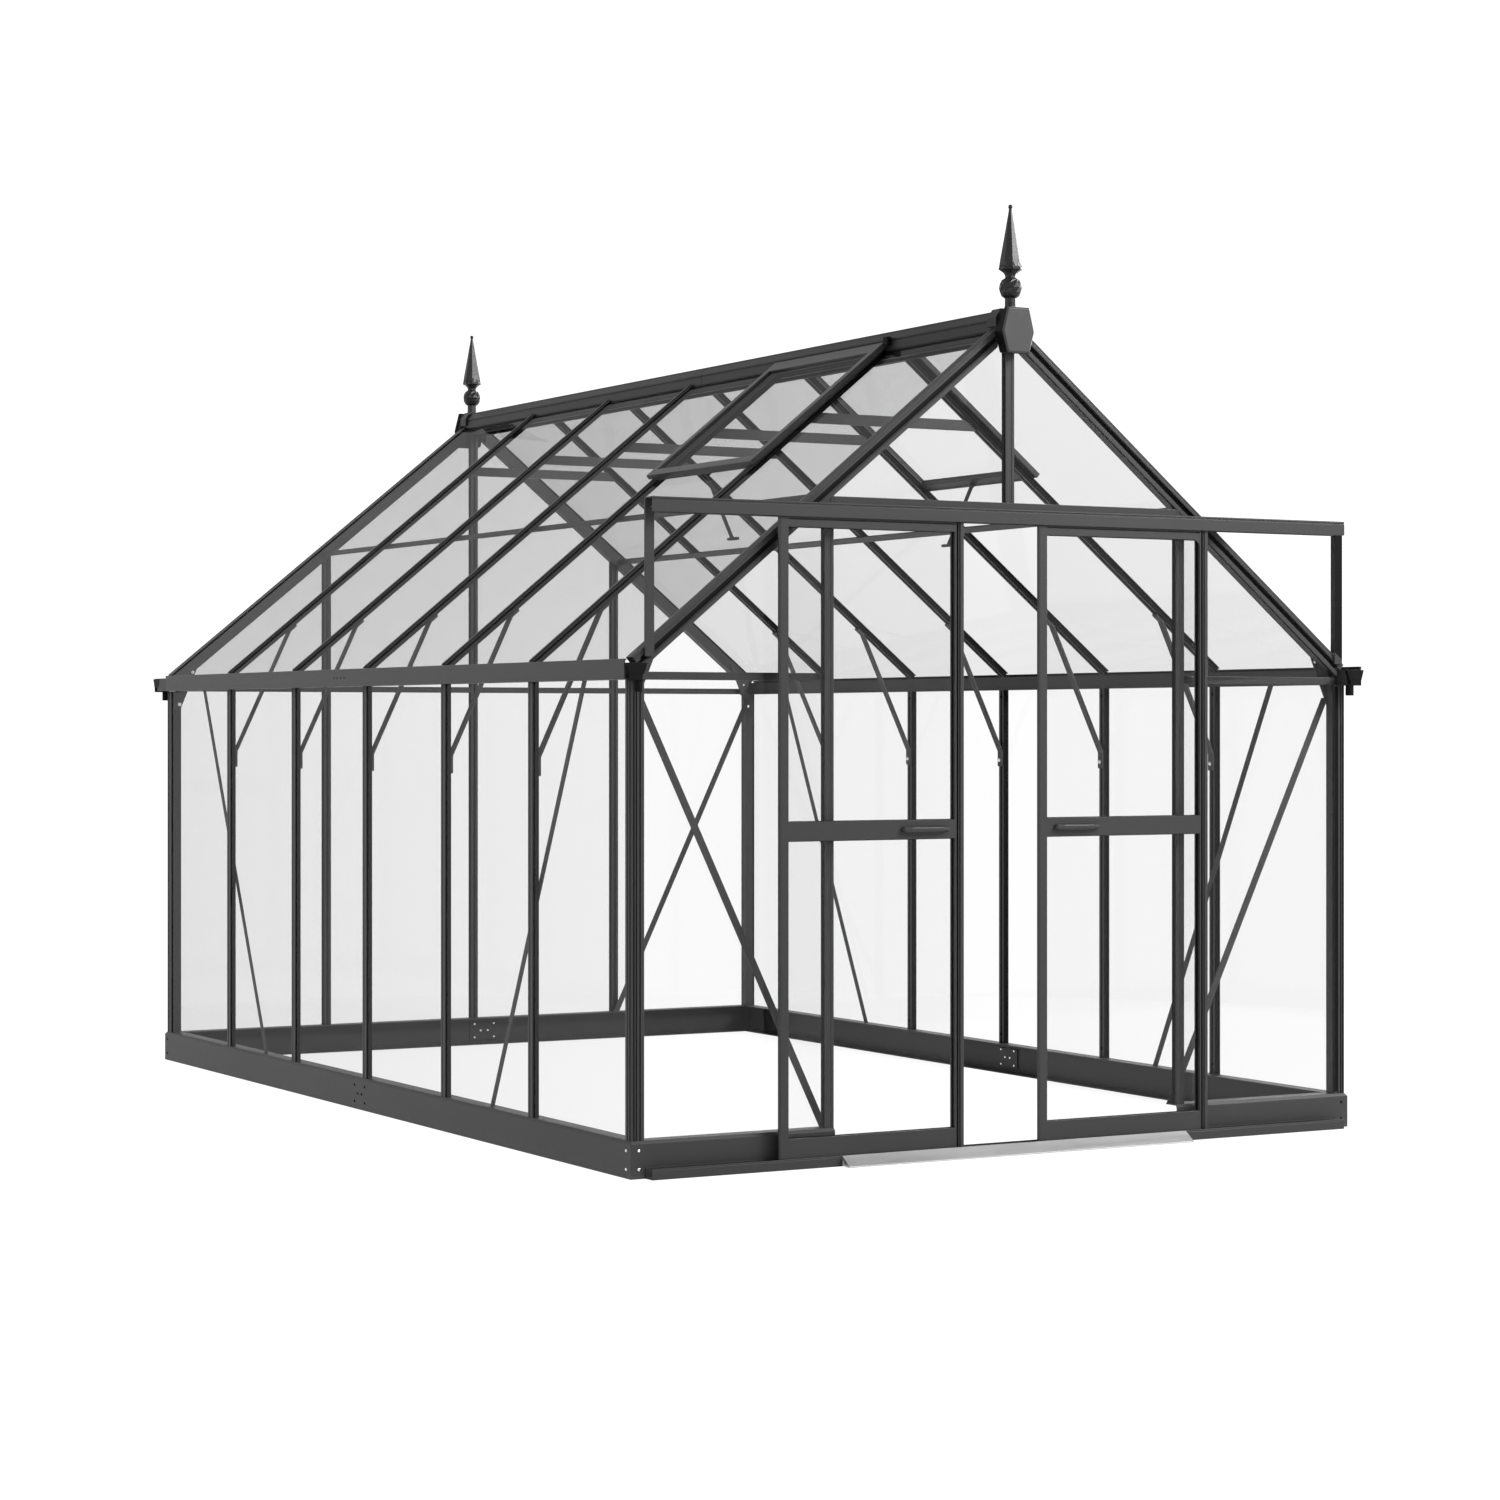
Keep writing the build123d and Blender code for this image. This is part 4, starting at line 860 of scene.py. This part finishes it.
gussetBolts = {"large": ((1152.0, 1429.0), (1203.0, 1310.0)), "small": ((1183.0, 1395.0),), "thick": 3.0}
for side in (-1, 1):
    for y, way in ((gableFront + plan["postWidth"], 1), (gableBack - plan["postWidth"], -1)):
        inner = y + way * gussetBolts["thick"]
        fix("zincBolts", [(side * x, inner, z) for x, z in gussetBolts["large"]], (0, way, 0))
        fix("pinBolts", [(side * x, inner, z) for x, z in gussetBolts["small"]], (0, way, 0))
        fix("zincBolts", [(side * x, y, z) for x, z in gussetBolts["large"]], (0, -way, 0))

strutLow, strutHigh = boxOf("track_end_struts")
strutLook = {"inner": 28.6, "outer": 0.6, "front": 0.5, "back": 0.3, "footDeep": 13.0, "footHigh": 30.0}
x0, x1, y0 = strutHigh[0] - strutLook["inner"], strutHigh[0] - strutLook["outer"], strutLow[1]
# a thin black sheet on the right strut's front face: painted shade for the strut's shaded inner side
shadeSheet = Solid()
shadeSheet.slab([(x0, roofZ(x0) + 6), (x1, roofZ(x1) + 6), (x1, strutHigh[2] - 4), (x0, strutHigh[2] - 4)],
            y0 - strutLook["front"], y0 + strutLook["back"])
place("strutShadeSheet", shadeSheet, ["blackPlastic"], soft=0)
sideLeg = Solid()
sideLeg.block(x0 - 0.4, x0 + 2.6, gableFront, gableFront + strutLook["footDeep"], roofZ(x0 - 0.4) + 0.6,
              roofZ(x0) + strutLook["footHigh"])
place("strutFoot", sideLeg, ["frameCoat"], soft=0)
plugBox = {"x": (-57, -ridgeHalf), "y": (-1253, -1228), "z": (2390, 2416)}
plug = Solid()
plug.block(*plugBox["x"], *plugBox["y"], *plugBox["z"])
place("hingePlug", plug, ["blackPlastic"], soft=1.5)

# door tracks

topLow, topHigh = boxOf("top_track")
lowLow, lowHigh = boxOf("bottom_track")
trackLook = {"ledge": 15.0, "ledgeOut": 14.0, "skin": 4.0, "screws": (-900, -450, 0, 450, 900)}


def topTrackSection(look):  # (y, z)
    y0, y1, z0, z1 = topLow[1], gableFront, topLow[2], topHigh[2]
    ledge, t, out = z0 + look["ledge"], look["skin"], y0 + look["ledgeOut"]
    return [
        (y0 + 0.8, z0), (y0 + t, z0), (y0 + t, ledge - 3), (out, ledge - 3), (out, ledge), (y0 + t, ledge),
        (y0 + t, z1 - t), (y1 - t, z1 - t), (y1 - t, z0), (y1, z0), (y1, z1), (y0 + 2.2, z1), (y0, z1 - 2.2),
        (y0, z1 - 4.6), (y0 + 2.4, z1 - 5.2), (y0 + 2.4, z1 - 7.0), (y0, z1 - 9.4), (y0, z0 + 0.8)]


def bottomTrackSection():
    y0, y1, z1 = lowLow[1], lowHigh[1], lowHigh[2]
    return [(y0, 0), (y1, 0), (y1, z1), (y1 - 3, z1), (y1 - 3, 3), (y0 + 3, 3), (y0 + 3, z1 - 0.8),
            (y0 + 2.2, z1), (y0 + 0.8, z1), (y0, z1 - 0.8), (y0, z1 - 4), (y0 + 0.8, z1 - 4.8),
            (y0, z1 - 5.6)]


for name, section, node in (("topTrack", topTrackSection(trackLook), "top_track"),
                            ("bottomTrack", bottomTrackSection(), "bottom_track")):
    solid = Solid()
    solid.run(section, (0, 0, 0), (0, 1, 0), (0, 0, 1), (1, 0, 0), -topHigh[0], topHigh[0])
    place(name, solid, ["frameCoat"], stands=[node], soft=0.5)
fix("blackScrews", [(x, topLow[1] + 46, topLow[2] + 10) for x in trackLook["screws"]], (0, 1, 0))

# doors

doorLook = {"stile": 30.5, "plate": 8.0, "step": 12.0, "deep": 26.0, "foot": 61.0, "mid": 54.0, "head": 33.0,
            "midRise": 887.0, "round": 22.0, "flutes": ((12.0, 16.0), (19.0, 25.0)), "boltIn": 21.0}
hangerLook = {"in": 60.0, "half": 15.0, "wheel": 7.0, "guideHalf": 12.0, "guideDeep": 6.0}
beadLook = {"radius": 1.5, "in": 0.6, "off": 2.6}
gripRows = (  # end it is measured from, distance, half height, front and back
    (0, 0, 3.0, 7.0, 16.0), (0, 6, 8.0, 2.5, 16.0), (0, 26, 8.0, 0.0, 16.0), (0, 34, 8.0, 0.0, 7.0),
    (1, -30, 7.0, 0.0, 6.0), (1, -24, 7.0, 0.0, 16.0), (1, -5, 6.5, 2.0, 16.0), (1, 0, 3.5, 6.0, 16.0))


def stileSection(look, fluted):  # (in from the door's edge, back from its face)
    s, p, t, d = look["stile"], look["plate"], look["step"], look["deep"]
    face = [(0.8, 0)]
    if fluted:
        for near, far in look["flutes"]:
            face += [(near, 0), (near, -6.6), (far, -6.6), (far, 0)]
    else:
        face += [(2.6, 0), (3.2, -0.8), (4.0, -0.8), (4.6, 0)]
    return face + [(s - 0.8, 0), (s, -0.8), (s, -10.5), (s - 7, -10.5), (s - 7, -15.5), (s, -15.5), (s, -d),
                   (t, -d), (t, -p), (0, -p), (0, -0.8)]


def railSection(high, deep, slots):  # (height, back from its face)
    face = [(0.8, 0)]
    if "line" in slots:
        face += [(high - 13, 0), (high - 13, -5), (high - 9.5, -5), (high - 9.5, 0)]
    face += [(high - 0.8, 0), (high, -0.8)]
    if "top" in slots:
        face += [(high, -10.5), (high - 7, -10.5), (high - 7, -15.5), (high, -15.5)]
    face += [(high, -deep), (0, -deep)]
    if "low" in slots:
        face += [(0, -15.5), (7, -15.5), (7, -10.5), (0, -10.5)]
    return face + [(0, -0.8)]


def buildDoor(label, node, pane, handle, body):
    look = doorLook
    paneLow, paneHigh = boxOf(pane)
    x0, x1 = paneLow[0] - look["stile"], paneHigh[0] + look["stile"]
    foot, top = paneLow[2] - look["foot"], paneHigh[2] + look["head"]
    face = (paneLow[1] + paneHigh[1]) / 2 - look["deep"] / 2
    mid = foot + look["midRise"]
    leaf = Solid()
    leaf.run(stileSection(look, False), (x0, face, 0), (1, 0, 0), (0, -1, 0), (0, 0, 1), foot, top)
    leaf.run(stileSection(look, True), (x1, face, 0), (-1, 0, 0), (0, -1, 0), (0, 0, 1), foot, top)
    for low, high, slots in ((foot, look["foot"], ("top",)), (mid, look["mid"], ("top", "low")),
                             (top - look["head"], look["head"], ("low", "line"))):
        leaf.run(railSection(high, look["deep"] - 0.6, slots), (0, face + 0.3, low), (0, 0, 1), (0, -1, 0),
                 (1, 0, 0), x0 + look["stile"] - 0.5, x1 - look["stile"] + 0.5)
    if label == "Right":  # rounded inner corner at the top
        cornerX, cornerZ, bend = x1 - look["stile"] + 0.5, top - look["head"] + 0.5, look["round"]
        arc = [(cornerX, cornerZ)] + [
            (cornerX - bend * (1 - math.sin(a)), cornerZ - bend * (1 - math.cos(a)))
            for a in (math.pi / 2 * k / 6 for k in range(7))]
        leaf.slab(arc, face + 0.6, face + 6)
    for near, far in look["flutes"]:  # black strips down in the flutes
        leaf.block(x1 - far + 0.4, x1 - near - 0.4, face + 5.4, face + 6.5, foot + 1, top - 1, mark=1)
    centre, wheel, half = face + look["deep"] / 2, hangerLook["wheel"], hangerLook["half"]
    wheelZ = topLow[2] + trackLook["ledge"] + 0.3 + wheel
    wheelY = topLow[1] + trackLook["ledgeOut"] - 5
    axle = centre - wheelY
    for x in (x0 + hangerLook["in"], x1 - hangerLook["in"]):
        left, right, neck = x - half, x + half, wheelZ + 8.4
        leaf.slab([(left, top - 10), (right, top - 10), (right, wheelZ + 3), (right - 5, neck),
                   (left + 5, neck), (left, wheelZ + 3)], centre - 2, centre + 2)
        hub = ((x, wheelY, wheelZ), (0, 1, 0))
        leaf.turnedPart([(-4, 5.6), (-3.4, wheel), (3.4, wheel), (4, 5.6)], *hub, 28, mark=1)
        leaf.turnedPart([(0, 2.4), (axle + 3, 2.4), (axle + 4, 4.4), (axle + 6, 4.4)], *hub, 12)
        rings = []  # guide under the door
        for z, inset in ((8, 1.5), (12, 0), (foot + 2, 0)):
            wide, deep = hangerLook["guideHalf"] - inset, hangerLook["guideDeep"] - inset
            rings.append([(x + u * wide, centre + v * deep, z)
                          for u, v in ((-1, -1), (1, -1), (1, 1), (-1, 1))])
        leaf.skin(rings, mark=1)
    place("doorLeaf" + label, leaf, ["frameCoat", "blackPlastic"], body, [node], 0.5)

    # bead round each pane
    beads = bpy.data.meshes.new("paneEdges")
    spots, edges, inset = [], [], beadLook["in"]
    for low, high in ((paneLow[2], mid), (mid + look["mid"], paneHigh[2])):
        left, right, low, high = paneLow[0] + inset, paneHigh[0] - inset, low + inset, high - inset
        for y in (centre - beadLook["off"], centre + beadLook["off"]):
            start = len(spots)
            corners = ((left, low), (right, low), (right, high), (left, high))
            spots += [Vector((x, y, z)) * mm for x, z in corners]
            edges += [(start + k, start + (k + 1) % 4) for k in range(4)]
    beads.from_pydata(spots, edges, [])
    values = {"Bead Radius": beadLook["radius"] * mm, "Sides": 8}
    grown("paneBeads" + label, beads, beadTree, values, "glazingSeal", body)

    # pull handle
    ends = boxOf(handle)
    grip, rings = Solid(), []
    zm, front = (ends[0][2] + 3 + ends[1][2] - 3) / 2, ends[0][1]
    for end, shift, tall, near, far in gripRows:
        x, y0, y1 = ends[end][0] + shift, front + near, front + far
        belly = y0 + (y1 - y0) * 0.4
        rings.append([(x, y0, zm - tall * 0.55), (x, y0, zm + tall * 0.55), (x, belly, zm + tall),
                      (x, y1, zm + tall), (x, y1, zm - tall), (x, belly, zm - tall)])
    grip.skin(rings)
    place("pullHandle" + label, grip, ["handleCoat"], body, [handle], 1.2)
    back = face + look["deep"]
    fix("blackScrews", [(x, back - 0.3, zm) for x in (ends[0][0] + 14, ends[1][0] - 14)], (0, 1, 0), body)
    fix("pinBolts", [(x, back, z) for x in (x0 + look["boltIn"], x1 - look["boltIn"])
                     for z in (foot + 35, mid + 27, top - 16)], (0, 1, 0), body)


for side, label in flanks:
    door = label.lower() + "_door"
    buildDoor(label, door + "_frame", door + "_glass", door + "_handle", door)
print("greenhouse: doors made")

# bolts of the bracing

kneeBolts = {"rise": 22.0, "in": 8.0}
kneeZ, kneeX = boxOf("knee_braces")[0][2] + kneeBolts["rise"], wallX - barDepth - kneeBolts["in"]
for side in (-1, 1):
    fix("zincBolts", [(side * kneeX, y, kneeZ) for y in stations], (-side, 0, 0))
placeFixings()

# panes

for node in ("left_wall_glass", "right_wall_glass", "left_roof_glass", "right_roof_glass",
             "front_gable_glass", "back_gable_glass", "vent_glass", "left_door_glass", "right_door_glass"):
    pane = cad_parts[node]
    for slot in pane.material_slots:
        slot.material = finishes["clearGlass"]
    if not pane.material_slots:
        pane.data.materials.append(finishes["clearGlass"])
print("greenhouse: panes set")

# studio

studio = {
    "lamps": {
        "keyLeft": {"at": (-6.5, -3.0, 4.2), "to": (0, 0, 1.0), "size": (3.6, 3.6), "power": 130.0},
        "frontHigh": {"at": (4.2, -5.4, 5.2), "to": (0.6, -1.2, 1.6), "size": (3.2, 2.4), "power": 830.0},
        "rightFill": {"at": (6.5, 1.5, 3.4), "to": (0, 0, 1.0), "size": (3.6, 3.6), "power": 180.0},
        "backFill": {"at": (5.0, 6.0, 5.5), "to": (0, 0, 1.2), "size": (3.6, 3.0), "power": 150.0},
    },
    "sky": 0.55, "seen": 1.15, "ceiling": 0.42, "clear": 4.2, "fade": 1.6, "floorGlow": 0.87,
    "floorTone": 0.86, "floorHalf": 60, "floorDrop": 0.0008,
}


def shownRays(bench):  # 1 for what the camera sees, straight or in a reflection
    rays = bench.node("ShaderNodeLightPath").socket.node.outputs
    kinds = ("Camera", "Glossy", "Transmission")
    straight, *others = [Wire(bench, rays["Is " + kind + " Ray"]) for kind in kinds]
    return sum(others, straight).held()


def makeStudio(look):
    world = bpy.data.worlds.new("studio")
    scene.world = world
    world.use_nodes = True
    world.node_tree.nodes.clear()
    bench = Bench(world.node_tree)
    way = bench.node("ShaderNodeTexCoord", out="Generated")
    rise = bench.node("ShaderNodeSeparateXYZ", {}, {0: way}, out="Z")
    tone = bench.node("ShaderNodeValToRGB", {"stops": [(0.0, grey(1.0)), (0.30, grey(1.0)),
                                                       (0.72, grey(look["ceiling"]))]}, {0: rise})
    soft = bench.node("ShaderNodeBackground", {}, {"Color": grey(1.0), "Strength": look["sky"]})
    shown = bench.node("ShaderNodeBackground", {}, {"Color": tone, "Strength": look["seen"]})
    mixed = bench.node("ShaderNodeMixShader", {}, {0: shownRays(bench), 1: soft, 2: shown})
    bench.node("ShaderNodeOutputWorld", {}, {"Surface": mixed})

    floorShape = bmesh.new()
    bmesh.ops.create_grid(floorShape, x_segments=2, y_segments=2, size=look["floorHalf"])
    mesh = bpy.data.meshes.new("studioFloor")
    floorShape.to_mesh(mesh)
    floorShape.free()
    mesh.transform(Matrix.Translation((0, 0, -look["floorDrop"])))
    floor = bpy.data.objects.new("studioFloor", mesh)
    scene.collection.objects.link(floor)
    material, bench, spot = newFinish("paleFloor")
    far = bench.node("ShaderNodeVectorMath", {"operation": "LENGTH"}, {0: spot}, out="Value")
    glowing = ((far - look["clear"] + look["fade"]) / look["fade"]).held(look["floorGlow"], 1.0)
    share = shownRays(bench) * glowing
    matt = bench.node("ShaderNodeBsdfDiffuse", {}, {"Color": grey(look["floorTone"])})
    glow = bench.node("ShaderNodeEmission", {}, {"Color": grey(1.0), "Strength": look["seen"]})
    endFinish(material, bench, bench.node("ShaderNodeMixShader", {}, {0: share, 1: matt, 2: glow}))
    mesh.materials.append(material)

    for name, lamp in look["lamps"].items():
        light = bpy.data.lights.new(name, "AREA")
        light.shape, (light.size, light.size_y) = "RECTANGLE", lamp["size"]
        light.energy = lamp["power"]
        holder = bpy.data.objects.new(name, light)
        holder.location = lamp["at"]
        aim = Vector(lamp["to"]) - Vector(lamp["at"])
        holder.rotation_euler = aim.to_track_quat("-Z", "Y").to_euler()
        scene.collection.objects.link(holder)


makeStudio(studio)

camera = {"at": (-5.41287, -9.85004, 1.23534), "turn": -0.504738, "lens": 79.866, "film": 36.0,
          "shift": (0.0249, -0.01691), "far": 200.0, "bounces": 24}
view = bpy.data.cameras.new("mainView")
view.sensor_width, view.lens = camera["film"], camera["lens"]
view.shift_x, view.shift_y = camera["shift"]
view.clip_end = camera["far"]
holder = bpy.data.objects.new("mainView", view)
holder.location = camera["at"]
holder.rotation_euler = (math.radians(90), 0, camera["turn"])
scene.collection.objects.link(holder)
scene.camera = holder
scene.view_settings.view_transform = "Standard"
scene.cycles.transparent_max_bounces = camera["bounces"]
print("greenhouse: studio ready")
